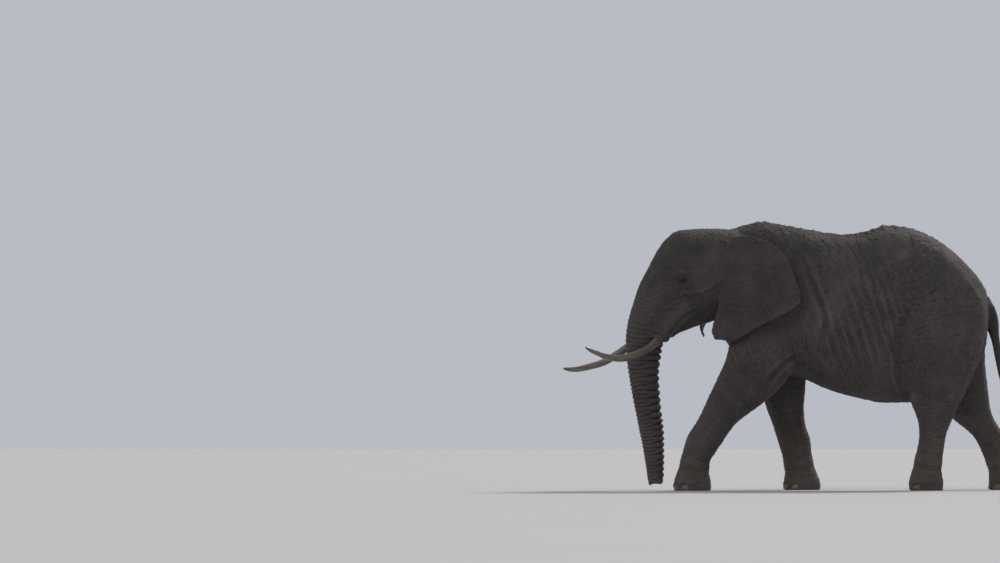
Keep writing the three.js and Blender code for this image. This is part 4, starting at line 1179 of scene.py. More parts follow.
on_head = sstep(-H[:, 1], 640, 860) * (1 - on_trunk) * (1 - on_ear)
on_head *= sstep(P[:, 2], 1600, 1700)
leg_w, leg_s, leg_th, leg_l = np.zeros(npts), np.zeros(npts), np.zeros(npts), np.zeros(npts)
leg_id = np.zeros(npts, int)
for i, (k, A) in enumerate(A_leg.items()):
    same = (P[:, 0] > 0) == (LEGS[k][5, 4] > 0)
    w = np.zeros(npts)
    w[A.near] = ((1 - sstep(A.rho, 1.15, 1.6)) * sstep(A.s, 3.2, 5.4))[A.near]
    w *= same * (1 - sstep(P[:, 2], 1500, 1800))
    better = w > leg_w
    leg_w[better], leg_s[better], leg_th[better], leg_l[better] = w[better], A.s[better], A.th[better], A.l[better]
    leg_id[better] = i
on_body = np.clip(1 - on_head - on_trunk - on_ear - on_tail - leg_w, 0, 1)
foot = 1 - sstep(P[:, 2], 14, 40)


# ---- wrinkles -----------------------------------------------------------------------------
def around(phase, p=5):
    """Rounded ridges with narrow grooves at whole numbers, about 0 on the mean."""
    return 0.55 - 1.1 * np.abs(np.cos(math.pi * phase)) ** p


def beads(phase):
    """Round swellings with sharp valleys at whole numbers, about 0 on the mean."""
    return np.abs(np.sin(math.pi * phase)) ** 0.75 - 0.68


D = np.zeros(npts)


def part(w, thr=0.01):
    return np.where(w > thr)[0]


def warp(Q, size, amount, seed):
    """Points moved by a smooth noise."""
    q = Q / size
    return Q + amount * np.stack([noise(q, seed), noise(q, seed + 1), noise(q, seed + 2)], 1)


def net(Q, stretch, width, seed, amount=0.35, size=None):
    """Crease lines: 1 in the lines, on coordinates divided by the stretch in each direction."""
    q = Q / np.asarray(stretch, float)
    q = q + amount * np.stack([noise(q * 1.7, seed + 5), noise(q * 1.7, seed + 6), noise(q * 1.7, seed + 7)], 1)
    return groove(noise(q, seed), width)


# trunk: ridges in front close together, scallops behind wide apart
i = part(on_trunk)
l, th, w = A_trunk.l[i], A_trunk.th[i], on_trunk[i]
ct, st = np.cos(th), np.sin(th)
ring = np.stack([ct * 0.9, st * 0.9, l / 170], 1)
shift1 = 0.55 * noise(ring, 3) + 0.20 * noise(ring * 2.3, 4)
shift2 = 0.50 * noise(ring, 8) + 0.25 * noise(ring * 2.1, 9)
front = sstep(ct, -0.35, 0.25)
lower = sstep(l, 1500, 2100)
f1 = beads(l / 49 + np.maximum(l - 1500, 0) * 0.0030 + 0.7 * shift1)
f2 = beads(l / 86 + np.maximum(l - 1500, 0) * 0.0028 + 0.42 * shift2 + 0.2)
mod = 0.75 + 0.6 * noise(np.stack([ct, st, l / 90], 1), 12)
breaks = sstep(noise(np.stack([ct * 1.6, st * 1.6, l / 38], 1), 14), -0.75, 0.05)
trunk_D = (front * f1 * 15.5 * mod * (0.45 + 0.55 * breaks) + (1 - front) * f2 * 35.0 * mod) * (1 - 0.25 * lower)
f3 = around(l / 19 + 1.1 * noise(ring * [1.6, 1.6, 2.4], 16) + 0.5 * shift1, 3)
trunk_D += 2.4 * f3 * (0.6 + 0.8 * noise(np.stack([ct * 1.3, st * 1.3, l / 70], 1), 17)).clip(0, 1.4)
fine = net(np.stack([ct * 120, st * 120, l], 1), (60, 60, 19), 0.16, 21)
fine2 = net(np.stack([ct * 120, st * 120, l], 1), (26, 26, 60), 0.12, 25)
trunk_D -= (1.5 * fine + 0.9 * fine2) * (1 - 0.3 * lower)
D[i] += trunk_D * w

# face: the trunk's ridges begin between the eyes and fade upwards; a net of fine creases over all
i = part(on_head)
q, nh, w = H[i], NH[i], on_head[i]
upper = q[:, 2]
arc = (q[:, 1] + 1700) * 0.35 + (q[:, 2] - 2300)
facing = sstep(-nh[:, 1], 0.25, 0.75)
phase = arc / 50 + 0.7 * noise(q / [190, 260, 150], 31) + 0.25 * noise(q / 60, 32)
ridges = around(phase, 5) * facing * (1 - sstep(upper, 2150, 2560)) * sstep(upper, 1500, 1700)
head_D = 4.2 * ridges
head_D -= 3.4 * net(q, (120, 90, 60), 0.10, 41) + 2.7 * net(q, (70, 70, 36), 0.12, 44) + 1.5 * net(q, (24, 24, 20), 0.16, 47)
head_D -= 2.6 * net(q, (95, 55, 130), 0.09, 49) * sstep(q[:, 1], -1700, -1250) + 3.0 * fbm(q / 110, 48, 2)
c1, c2 = cells(warp(q, 60, 8, 51) / 17, 52)
head_D += 1.5 * np.minimum(c2 - c1, 0.35) / 0.35 - 0.8
# long creases running back from the mouth and down the cheek
cheek = sstep(np.abs(nh[:, 0]), 0.3, 0.7)
head_D -= 3.2 * net(q, (220, 210, 55), 0.10, 56) * cheek * (1 - sstep(upper, 2250, 2450))
crest = sstep(nh[:, 2], 0.6, 0.95) * np.exp(-(q[:, 0] / 170) ** 2) * sstep(q[:, 1], -1150, -800)
head_D += crest * (9.0 * noise(q / [60, 42, 60], 99) + 13.0 * np.maximum(noise(q / [36, 24, 36], 100), -0.15))
D[i] += head_D * w
clock("head and trunk creases")

# body: loose folds hang down the flanks, a net of creases crosses them
i = part(on_body)
q, n_, w = P[i], N[i], on_body[i]
big = warp(q, 420, 90, 61)
slant = 0.28 * (q[:, 2] - 1900)
yy = big[:, 1] + slant
neck = (1 - sstep(q[:, 1], -700, 100))
rump = sstep(q[:, 1], 900, 1500)
side = sstep(np.abs(n_[:, 0]), 0.15, 0.6)
fold1 = groove(noise(np.stack([yy / 150, big[:, 2] / 620, big[:, 0] / 620], 1), 62), 0.075)
fold2 = groove(noise(np.stack([(yy + 0.5 * q[:, 2]) / 105, big[:, 2] / 330, big[:, 0] / 330], 1), 65), 0.085)
fold3 = groove(noise(np.stack([(yy - 0.8 * q[:, 2]) / 120, big[:, 2] / 300, big[:, 0] / 300], 1), 68), 0.08)
flat = groove(noise(np.stack([big[:, 1] / 480, (big[:, 2] - 0.2 * q[:, 1]) / 115, big[:, 0] / 400], 1), 71), 0.085)
amount = 0.55 + 0.75 * np.clip(noise(q / 520, 74) + 0.35, 0, 1)
low = 1 - sstep(q[:, 2], 1250, 1750)
body_D = -(4.9 * fold1 * (0.5 + 0.5 * side) * (1 - 0.5 * rump) + 3.4 * fold2 + 3.0 * fold3) * amount
body_D -= flat * (2.4 + 2.6 * rump + 3.0 * low) * amount
body_D -= 2.6 * groove(noise(warp(q, 160, 30, 76) / [42, 58, 58], 79), 0.13) * (0.6 + 0.4 * side)
body_D -= 2.0 * groove(noise(warp(q, 120, 22, 82) / [60, 60, 34], 85), 0.13)
# neck: hanging folds close together, behind the jaw and the ears
nk = np.stack([yy / 62, q[:, 2] / 520, q[:, 0] / 400], 1)
body_D -= 7.0 * groove(noise(nk + 0.3 * noise(nk * 1.9, 88)[:, None], 89), 0.16) * neck * side
c1, c2 = cells(warp(q, 90, 14, 91) / 31, 92)
body_D += 1.5 * (np.minimum(c2 - c1, 0.3) / 0.3 - 0.7)
body_D += 4.0 * fbm(q / 170, 95, 2)
body_D = body_D * 0.90
body_D -= 5.2 * groove(noise(np.stack([yy / 290, big[:, 2] / 760, big[:, 0] / 700], 1), 160), 0.16) * side
ridge = sstep(n_[:, 2], 0.6, 0.95) * np.exp(-(q[:, 0] / 160) ** 2) * sstep(q[:, 1], -820, -250)
body_D += 14.0 * ridge * noise(q / [60, 42, 60], 99) + 20.0 * ridge * np.maximum(noise(q / [36, 24, 36], 100), -0.15)
c = place(884, 228, 0)
body_D += 15.0 * ridge * np.exp(-((q[:, 1] - c[0]) / 24) ** 2)
# the armpit and the flank before the thigh are the most folded
for px, py, r in ((800, 350, 260), (893, 352, 230), (752, 330, 240)):
    c = place(px, py, 450)
    k = np.exp(-((q[:, 1] - c[0]) / r) ** 2 - ((q[:, 2] - c[1]) / (1.2 * r)) ** 2) * side
    ph = (yy - 0.25 * q[:, 2]) / 46 + 0.8 * noise(q / 200, 97) + 0.3 * noise(q / 80, 98)
    body_D += 2.8 * around(ph, 6) * k
D[i] += body_D * w
clock("body creases")

# legs: folds across the joints, a net elsewhere, loose rings above the foot
i = part(leg_w)
q, w = P[i], leg_w[i]
l, th, s = leg_l[i], leg_th[i], leg_s[i]
ct, st = np.cos(th), np.sin(th)
ring = np.stack([ct * 1.1, st * 1.1, l / 150], 1) + leg_id[i][:, None] * 7.3
fore = leg_id[i] < 2
joint = np.where(fore, np.exp(-((s - 9.4) / 1.4) ** 2) + 0.8 * np.exp(-((s - 4.6) / 1.2) ** 2),
                 np.exp(-((s - 9.2) / 1.3) ** 2) + 0.8 * np.exp(-((s - 6.4) / 1.5) ** 2))
ankle = np.exp(-((s - 11.3) / 0.7) ** 2)
ph = l / 44 + 0.8 * noise(ring, 101) + 0.35 * noise(ring * 2.2, 102)
leg_D = 4.2 * around(ph, 6) * np.clip(joint + ankle, 0, 1)
ph = l / 95 + 0.9 * noise(ring * 0.8, 104) + 0.4 * noise(ring * 2.2, 105)
leg_D += 3.4 * around(ph, 9) * (1 - 0.6 * np.clip(joint + ankle, 0, 1))
leg_D -= 3.0 * groove(noise(warp(q, 200, 40, 107) / [90, 90, 260], 108), 0.10) * (1 - sstep(s, 8, 10))
leg_D -= 2.0 * groove(noise(warp(q, 120, 24, 110) / [60, 60, 36], 111), 0.13)
c1, c2 = cells(warp(q, 80, 12, 113) / 27, 114)
leg_D += 1.5 * (np.minimum(c2 - c1, 0.3) / 0.3 - 0.7)
leg_D += 2.5 * fbm(q / 130, 116, 2)
D[i] += leg_D * w

# ears: fine and leathery, tail: rings
i = part(on_ear)
q, w = P[i], on_ear[i]
ear_D = -3.0 * net(np.stack([q[:, 1], q[:, 2], q[:, 0]], 1), (90, 60, 200), 0.12, 121)
ear_D -= 2.6 * net(np.stack([q[:, 1], q[:, 2], q[:, 0]], 1), (45, 70, 200), 0.13, 124)
ear_D -= 4.0 * net(np.stack([ear_u[i] * 900, ear_v[i] * 1100, 0 * q[:, 0]], 1), (60, 420, 1), 0.12, 127) * (1 - sstep(ear_u[i], .2, .5))
ear_D -= 1.4 * net(q, (26, 26, 26), 0.16, 129)
vein = np.zeros(len(i))
for s in (1, -1):
    k = ear_side[i] == s
    tall = np.linalg.norm(np.diff(ears[s][2], axis=0), axis=2).sum(0)
    vein[k] = ear_veins(s, ear_u[i][k], ear_v[i][k], tall[np.clip((ear_u[i][k] * (len(tall) - 1)).astype(int), 0, len(tall) - 1)])
ear_D = np.maximum(ear_D, -4.2) + 3.6 * vein
# soft folds run out from the root, and along the rim
eu, ev = ear_u[i], ear_v[i]
ph = ev * 15 + 1.6 * noise(np.stack([eu * 2.2, ev * 3, 0 * eu], 1), 135) + 0.5 * eu
ear_D += 3.0 * around(ph, 4) * np.exp(-(eu / 0.38) ** 2)
ear_D -= 2.6 * groove(noise(np.stack([eu * 9, ev * 4.2, 0 * eu], 1) + 0.4 * noise(np.stack([eu * 8, ev * 8, 0 * eu], 1), 136)[:, None], 137), 0.10) * sstep(eu, 0.3, 0.6)
ear_D = np.clip(ear_D, -5.2, 5)
D[i] += ear_D * w
i = part(on_tail)
D[i] += 1.6 * around(A_tail.l[i] / 30 + 0.5 * noise(P[i] / 60, 131), 4) * on_tail[i]
# the tail's upper part is fuller behind
full = np.zeros(npts)
full[A_tail.near] = ((1 - sstep(A_tail.rho, 1.3, 1.8)) * sstep(A_tail.s, 0.5, 1.5))[A_tail.near]
D += 14.0 * full * np.exp(-((P[:, 2] - 2130) / 210) ** 2) * sstep(N[:, 1], 0.1, 0.8)
clock("leg, ear and tail creases")

D *= (1 - foot)
# cavity: the fine relief's creases against its crests, for painted shade in the creases and lighter crests
rel = D - S.smooth_field(D, 36)
cavity = np.clip(0.5 + rel / (10.0 - 4.5 * on_ear), 0, 1)
# hollow: large-scale hollows and bulges of the skin, for painted shade in the hollows and painted highlight on the
# bulges
Vs = P.copy()
for _ in range(46):
    Vs = 0.5 * (Vs + S.mean(Vs))
hollow = ((Vs - P) * N).sum(1)
hollow = np.clip(0.5 + hollow / 9.0 * (1 - on_ear) * (1 - on_tail), 0, 1)
P0 = P.copy()
S.V = P + D[:, None] * N



# ---- eyes: lids over the balls, folds round them ------------------------------------------
def direction(v, s, turn=True):
    v = np.array(v, float) * [s, 1, 1]
    v /= np.linalg.norm(v)
    return turned(v + [0, PIVOT_Y, 0]) - [0, PIVOT_Y, 0] if turn else v


eye_frames = {}
lid_shade = np.zeros(npts)
for s in (1, -1):
    e = turned(EYE_AT * [s, 1, 1])
    o = direction((1, -0.20, 0.06), s)
    f = direction((0, -1, -0.20), s)
    f -= o * (f @ o)
    f /= np.linalg.norm(f)
    u = np.cross(o, f)
    u *= np.sign(u[2])
    eye_frames[s] = (e, o, f, u)
    r = S.V - e
    i = np.where((r ** 2).sum(1) < 190 ** 2)[0]
    z, a, b = r[i] @ o, r[i] @ f, r[i] @ u
    i, z, a, b = (q[z > -60] for q in (i, z, a, b))
    d = np.hypot(a, b)
    if s > 0:
        print("skin stands %.1f mm over the eye's centre" % z[d < 30].mean())
    # the socket: a hollow before and below the ball, a swelling over it
    zz = z - 7.0 * np.exp(-((a - 34) / 34) ** 2 - ((b + 26) / 34) ** 2) + 9.0 * np.exp(-((a + 4) / 60) ** 2 - ((b - 60) / 22) ** 2)
    zz += 6.0 * np.exp(-((a + 6) / 48) ** 2 - ((b + 62) / 20) ** 2)
    hb = np.where(b > 0, 10.5, 8.5)
    k = np.maximum(np.hypot(a / 21.5, b / hb), 1e-3)
    m = d * (1 - 1 / k)                       # distance outside the slit
    slit = k < 1
    lid = np.sqrt(np.maximum(29.0 ** 2 - d ** 2, 0)) - 5.0 * sstep(d, 18, 29)
    blend = 6.0
    round_ = 0.5 * (zz + lid + np.sqrt((zz - lid) ** 2 + blend ** 2))
    zz = np.where(d < 50, round_ + (zz - round_) * sstep(d, 30, 50), zz)
    ang = np.arctan2(b, a)
    up = sstep(b / np.maximum(d, 1), -0.15, 0.40)
    lo = 1 - up
    sway = noise(np.stack([a, b, 0 * a], 1) / 34, 143)
    for at_, dep, wd in ((8, 6.5, 2.6), (17, 7.0, 3.6), (29, 7.0, 4.6), (44, 6.5, 5.4), (62, 5.5, 6.0), (82, 4.5, 6.5), (104, 3.5, 7)):
        zz -= up * dep * (0.75 + 0.5 * sway) * np.exp(-((m - at_ - 0.09 * at_ * np.sin(3 * ang + at_) - 3 * sway) / wd) ** 2) * (1 - sstep(d, 100, 150))
    for at_, dep, wd in ((6.5, 4.5, 2.2), (13, 6.0, 3.0), (23, 7.0, 3.8), (35, 6.5, 4.8), (50, 5.5, 5.5), (68, 4.5, 6.0), (90, 3.5, 6.5)):
        zz -= lo * dep * (0.75 + 0.5 * sway) * np.exp(-((m - at_ - 0.09 * at_ * np.sin(2 * ang + at_) - 3 * sway) / wd) ** 2) * (1 - sstep(d, 90, 140))
    zz += 2.2 * np.exp(-((m - 2.2) / 2.4) ** 2)
    rays = np.abs(np.sin(ang * 9 + 1.6 * noise(np.stack([a, b, z], 1) / 26, 141))) ** 7
    zz -= 3.2 * rays * sstep(m, 9, 24) * (1 - sstep(m, 60, 120)) * sstep(-a / np.maximum(d, 1), -0.5, 0.3)
    zz = np.where(slit, np.sqrt(np.maximum(17.0 ** 2 - d ** 2, 4)) - 3, zz)
    zz = z + (zz - z) * (1 - sstep(d, 130, 165))
    S.V[i] += (zz - z)[:, None] * o
    # painted shade: lid_shade darkens the skin close round the slit, and the relief shade is darker in the slit and in
    # the lids' folds
    lid_shade[i] = np.maximum(lid_shade[i], np.exp(-(np.maximum(m, 0) / 17) ** 2))
    cavity[i] = np.clip(cavity[i] - 0.25 * np.exp(-((m - 2) / 5) ** 2) - 0.03 * (z + 2 - zz).clip(0, 8) * (m > 4) * (1 - sstep(d, 110, 150)), 0, 1)

# trunk's end: two nostrils, a finger above and one below
tip = np.where((on_trunk > 0.5) & (A_trunk.s > len(TRUNK_T) - 2.2))[0]
t = at(TRUNK_T, len(TRUNK_T) - 1.0)[0]
mid = np.array([0, (t[0] + t[2]) / 2, (t[1] + t[3]) / 2])
q = H[tip] - mid
down = sstep(-NH[tip, 2], 0.35, 0.8)
pit = np.zeros(len(tip))
for s in (1, -1):
    pit = np.maximum(pit, np.exp(-(((q[:, 0] - s * 31) / 21) ** 2 + ((q[:, 1] + 4) / 27) ** 2) ** 1.5))
S.V[tip] += np.stack([0 * pit, 0 * pit, 55 * pit * down], 1)
finger = 1.6 * np.exp(-((q[:, 1] + 76) / 24) ** 2 - (q[:, 0] / 34) ** 2) + 0.7 * np.exp(-((q[:, 1] - 72) / 26) ** 2 - (q[:, 0] / 40) ** 2)
S.V[tip, 2] -= 17 * finger * down
# painted shade in the nostrils
cavity[tip] = np.clip(cavity[tip] - pit * down, 0, 1)

# the lips of the tusks' sheaths stand out round the ivory
for rows in (TUSK_L, TUSK_R):
    T = table(rows)
    A_, B_ = T[2, :3], T[3, :3]
    d = (B_ - A_) / np.linalg.norm(B_ - A_)
    end = 0.42 * np.linalg.norm(B_ - A_) + 4
    r = S.V - A_
    t = r @ d
    i = np.where((t > -110) & (t < end + 30) & ((r ** 2).sum(1) < 170 ** 2))[0]
    t = t[i]
    off = r[i] - t[:, None] * d
    rad = np.linalg.norm(off, axis=1)
    lip = 50 + 13 * np.sqrt(np.clip(1 - np.clip((t - end + 16) / 16, 0, 1) ** 2, 0, 1)) + 1.8 * np.sin(t / 3.6 + 0.8 * noise(r[i] / 40, 181)) * sstep(end - t, 10, 25)
    w = sstep(t, -105, -45) * (rad > 40) * (t < end)
    new = np.where(w > 0, rad + np.maximum(lip - rad, 0) * w, rad)
    # folds follow one another back from the rim
    u_ = np.hypot(np.minimum(t - end, 0) * 0.8, np.maximum(rad - 56, 0)) + 5 * noise(r[i] / 46, 183)
    fold = 0
    for at_, dep, wd in ((6, 5.0, 9), (24, -5.5, 5), (40, 2.5, 8), (56, -4.5, 6), (90, -3.5, 7)):
        fold = fold + dep * np.exp(-((u_ - at_) / wd) ** 2)
    fold = fold * (t < end + 8) * (1 - sstep(rad, 120, 150)) * (0.7 + 0.5 * noise(r[i] / 60, 184))
    S.V[i] += off / np.maximum(rad, 1)[:, None] * (new - rad + fold)[:, None]
    # painted shade in the sheaths' folds
    cavity[i] = np.clip(cavity[i] + 0.05 * np.minimum(fold, 0), 0, 1)

# toenails: where each sits, and the skin's rim round it
NAILS = []
for k, T in LEGS.items():
    R = at(T, len(T) - 1 - 2.35)[0]
    half = math.hypot(R[0] - R[2], R[1] - R[3]) / 2
    cy = (R[0] + R[2]) / 2
    s = 1 if k.startswith("left") else -1
    for a in ([-64, -23, 20, 61] if k.endswith("fore") else [-50, -2, 46]):
        a = math.radians(a) * s
        at_ = np.array([R[4] + math.sin(a) * (R[5] - 3), cy - math.cos(a) * (half - 3), 46.0])
        NAILS.append((at_, a, s))
nail_rim = np.zeros(npts)
for c, a, s in NAILS:
    r = S.V - c
    i = np.where((np.abs(r) < 110).all(1))[0]
    r = r[i]
    out = np.array([math.sin(a), -math.cos(a), 0])
    side_ = np.array([math.cos(a), math.sin(a), 0])
    x, y, z = r @ side_, r @ out, r[:, 2]
    k = np.hypot(x / 50, np.where(z > 0, z, 0.8 * z) / 41)
    front = sstep(y, -30, -8)
    dd = front * (8.0 * np.exp(-((k - 1.15) / 0.13) ** 2) * sstep(z, -25, 10) + 3.0 * np.exp(-((k - 1.5) / 0.12) ** 2) * sstep(z, 0, 20) - 9.0 * (1 - sstep(k, 0.80, 1.0)))
    S.V[i] += dd[:, None] * out
    nail_rim[i] = np.maximum(nail_rim[i], front * (1 - sstep(k, 1.0, 1.5)))
S.V[:, 2] = np.maximum(S.V[:, 2], 0)
S.V[(S.V[:, 2] < 4.5) & (P0[:, 2] < 8), 2] = 0
clock("eyes' lids, trunk's end, nails' beds")


# ---- the skin's mesh, its unwrap and its stored places -----------------------------------
region = np.zeros(npts, int)
region[P0[:, 0] < 0] = 1
region[on_head > 0.5] = 2
region[on_trunk > 0.5] = 3
region[on_tail > 0.5] = 4
for s, a, b in ((1, 5, 6), (-1, 7, 8)):
    i = (ear_side == s) & (ear_d < 60) & (ear_u > 0.02)
    M = ears[s][2]
    nrm = np.cross(M[-1, 0] - M[0, 0], M[len(M) // 2, -1] - M[len(M) // 2, 0])
    facing = (N @ nrm) > 0
    region[i & facing] = a
    region[i & ~facing] = b
for k in range(4):
    region[(leg_w > 0.5) & (leg_id == k)] = 9 + k

me = mesh_of(S.V, F, odd, "skin")
nl = len(me.loops)
vi = np.empty(nl, np.int32)
me.loops.foreach_get("vertex_index", vi)
npoly = len(me.polygons)
ls = np.empty(npoly, np.int32)
lt = np.empty(npoly, np.int32)
me.polygons.foreach_get("loop_start", ls)
me.polygons.foreach_get("loop_total", lt)
pn = np.empty(npoly * 3, np.float32)
me.polygons.foreach_get("normal", pn)
pn = pn.reshape(-1, 3)
ax = np.abs(pn).argmax(1)
sg = (pn[np.arange(npoly), ax] > 0).astype(int)
reg = region[vi[ls]]
is_ear = (reg >= 5) & (reg <= 8)
for s, ids in ((1, (5, 6)), (-1, (7, 8))):
    M = ears[s][2]
    nrm = np.abs(np.cross(M[-1, 0] - M[0, 0], M[len(M) // 2, -1] - M[len(M) // 2, 0]))
    ax[(reg == ids[0]) | (reg == ids[1])] = nrm.argmax()
    sg[(reg == ids[0]) | (reg == ids[1])] = 0
chart = reg * 6 + ax * 2 + sg
poly_of_loop = np.repeat(np.arange(npoly), lt)
cl = chart[poly_of_loop]
al = ax[poly_of_loop]
X = S.V[vi]
uv2 = np.stack([np.where(al == 0, X[:, 1], X[:, 0]), np.where(al == 2, X[:, 1], X[:, 2])], 1)
boxes = []
for c in np.unique(chart):
    m = cl == c
    lo, hi = uv2[m].min(0), uv2[m].max(0)
    boxes.append((c, lo, hi - lo))
boxes.sort(key=lambda b: -b[2][1])


def shelves(width):
    x = y = row = 0.0
    out = {}
    for c, lo, sz in boxes:
        if x + sz[0] > width and x > 0:
            x, y, row = 0.0, y + row + 25, 0.0
        out[c] = (x - lo[0], y - lo[1])
        x += sz[0] + 25
        row = max(row, sz[1])
    return out, y + row


best = min((max(w, shelves(w)[1]), w) for w in np.linspace(5000, 16000, 45))
lay, _ = shelves(best[1])
off = np.zeros((max(lay) + 1, 2))
for c, o in lay.items():
    off[c] = o
uv = (uv2 + off[cl]) / best[0] * 0.996 + 0.002
layer = me.uv_layers.new(name="OFBake")
layer.data.foreach_set("uv", uv.astype(np.float32).ravel())


def store(me, name, values):
    at_ = me.attributes.new(name, "FLOAT", "POINT")
    at_.data.foreach_set("value", np.asarray(values, np.float32))


store(me, "cavity", cavity)
store(me, "lids", lid_shade)
store(me, "hollow", hollow)
store(me, "feet", np.clip(1 - sstep(P0[:, 2], 60, 900), 0, 1))
store(me, "nose", on_trunk * sstep(A_trunk.s, 9, 15))
store(me, "ears", on_ear)
store(me, "rims", np.maximum(on_ear * sstep(ear_u, 0.72, 1.0), nail_rim))
skin = bpy.data.objects.new("skin", me)
bpy.context.scene.collection.objects.link(skin)
clock("skin mesh, %d points, %d triangles" % (len(S.V), int((lt - 2).sum())))


# ---- materials ------------------------------------------------------------------------------
class Nodes:
    """A small builder of shader node trees: values are constants or other nodes' outputs."""

    def __init__(self, name):
        self.mat = bpy.data.materials.new(name)
        self.mat.use_nodes = True
        self.tree = self.mat.node_tree
        self.tree.nodes.clear()

    def add(self, kind, out=0, settings=None, **ins):
        n = self.tree.nodes.new(kind)
        for k, v in (settings or {}).items():
            setattr(n, k, v)
        for k, v in ins.items():
            key = int(k[1:]) if k[0] == "i" and k[1:].isdigit() else k.replace("_", " ")
            self.put(n.inputs[key], v)
        return n.outputs[out]

    def put(self, socket, v):
        if isinstance(v, bpy.types.NodeSocket):
            self.tree.links.new(v, socket)
        elif isinstance(v, tuple) and len(v) == 3 and socket.type == "RGBA":
            socket.default_value = v + (1,)
        else:
            socket.default_value = v

    def math(self, op, a, b=0.0, clamp=False):
        return self.add("ShaderNodeMath", settings={"operation": op, "use_clamp": clamp}, i0=a, i1=b)

    def attribute(self, name):
        return self.add("ShaderNodeAttribute", out=2, settings={"attribute_name": name})

    def mix(self, f, a, b, blend="MIX"):
        n = self.tree.nodes.new("ShaderNodeMix")
        n.data_type = "RGBA"
        n.blend_type = blend
        self.put(n.inputs[0], f)
        self.put(n.inputs[6], a)
        self.put(n.inputs[7], b)
        return n.outputs[2]

    def span(self, v, a, b, c=0.0, d=1.0):
        return self.add("ShaderNodeMapRange", settings={"interpolation_type": "SMOOTHSTEP"}, i0=v, i1=a, i2=b, i3=c, i4=d)

    def noise(self, scale, detail=4.0, rough=0.55, vector=None, distortion=0.0):
        n = self.tree.nodes.new("ShaderNodeTexNoise")
        n.inputs["Scale"].default_value = scale
        n.inputs["Detail"].default_value = detail
        n.inputs["Roughness"].default_value = rough
        n.inputs["Distortion"].default_value = distortion
        self.put(n.inputs["Vector"], vector if vector is not None else self.place())
        return n.outputs[0]

    def place(self):
        if not hasattr(self, "_place"):
            self._place = self.add("ShaderNodeTexCoord", out=3)
        return self._place

    def moved(self, vector, scale=(1, 1, 1), amount=0.0, size=8.0):
        v = vector
        if amount:
            n = self.tree.nodes.new("ShaderNodeTexNoise")
            n.inputs["Scale"].default_value = size
            n.inputs["Detail"].default_value = 2
            self.put(n.inputs["Vector"], vector)
            w = self.tree.nodes.new("ShaderNodeVectorMath")
            w.operation = "MULTIPLY_ADD"
            self.put(w.inputs[0], n.outputs[1])
            w.inputs[1].default_value = (amount,) * 3
            self.put(w.inputs[2], vector)
            v = w.outputs[0]
        m = self.tree.nodes.new("ShaderNodeMapping")
        self.put(m.inputs["Vector"], v)
        m.inputs["Scale"].default_value = scale
        return m.outputs[0]

    def cracks(self, scale, vector, randomness=1.0):
        n = self.tree.nodes.new("ShaderNodeTexVoronoi")
        n.feature = "DISTANCE_TO_EDGE"
        n.inputs["Scale"].default_value = scale
        n.inputs["Randomness"].default_value = randomness
        self.put(n.inputs["Vector"], vector)
        return n.outputs[0]

    def finish(self, base, rough, height=None, distance=0.002, strength=1.0, **more):
        b = self.tree.nodes.new("ShaderNodeBsdfPrincipled")
        self.put(b.inputs["Base Color"], base)
        self.put(b.inputs["Roughness"], rough)
        for k, v in more.items():
            self.put(b.inputs[k.replace("_", " ")], v)
        if height is not None:
            n = self.add("ShaderNodeBump", Height=height, Distance=distance, Strength=strength)
            self.tree.links.new(n, b.inputs["Normal"])
        o = self.tree.nodes.new("ShaderNodeOutputMaterial")
        self.tree.links.new(b.outputs[0], o.inputs[0])
        return self.mat


n = Nodes("elephant_hide")
relief_shade_in = n.attribute("cavity")
warped = n.moved(n.place(), scale=(1.0, 1.0, 1.25), amount=0.05, size=9)
c1 = n.cracks(62, warped)
c2 = n.cracks(150, warped)
few = n.span(n.noise(4.2, 3, 0.6), 0.36, 0.62, 0.30, 1.0)
fewer = n.span(n.noise(7.5, 3, 0.6), 0.38, 0.60, 0.25, 0.85)
few = n.math("MULTIPLY", few, n.math("SUBTRACT", 1.0, n.math("MULTIPLY", n.attribute("lids"), 0.8)))
gap1 = n.math("MULTIPLY", n.math("SUBTRACT", 1.0, n.span(c1, 0.0, 0.11, 0.0, 1.0)), few)
gap2 = n.math("MULTIPLY", n.math("SUBTRACT", 1.0, n.span(c2, 0.0, 0.18, 0.35, 1.0)), fewer)
lines = n.math("SUBTRACT", 1.0, n.math("MAXIMUM", gap1, gap2), clamp=True)
large = n.noise(1.3, 5, 0.6)
patch = n.noise(6.0, 5, 0.62, distortion=0.4)
grain = n.noise(55.0, 4, 0.7)
# partly the hide's own dark grey-brown, partly painted shade: these tones are darker than a real hide's
col = n.mix(n.span(large, 0.38, 0.66), (0.070, 0.061, 0.060), (0.100, 0.088, 0.084))
col = n.mix(n.math("MULTIPLY", n.span(patch, 0.42, 0.78), 0.45), col, (0.130, 0.114, 0.105))
col = n.mix(n.math("MULTIPLY", n.span(grain, 0.50, 0.75), 0.35), col, (0.155, 0.136, 0.122))
# lighter on the crests of the relief, dust on the lower legs; the creases get painted shade further down
col = n.mix(n.math("MULTIPLY", n.span(relief_shade_in, 0.50, 0.95), 0.42), col, (0.158, 0.138, 0.122))
col = n.mix(n.math("MULTIPLY", n.attribute("feet"), n.span(patch, 0.35, 0.7, 0.25, 0.8)), col, (0.150, 0.124, 0.100))
col = n.mix(n.math("MULTIPLY", n.attribute("nose"), n.span(patch, 0.45, 0.7, 0.1, 0.5)), col, (0.140, 0.112, 0.100))
col = n.mix(n.math("MULTIPLY", n.attribute("rims"), n.span(patch, 0.40, 0.7, 0.1, 0.5)), col, (0.160, 0.132, 0.118))
# painted shade: the creases of the relief are darkened
col = n.mix(n.span(relief_shade_in, 0.06, 0.47, 0.52, 0.0), col, (0.032, 0.027, 0.026))
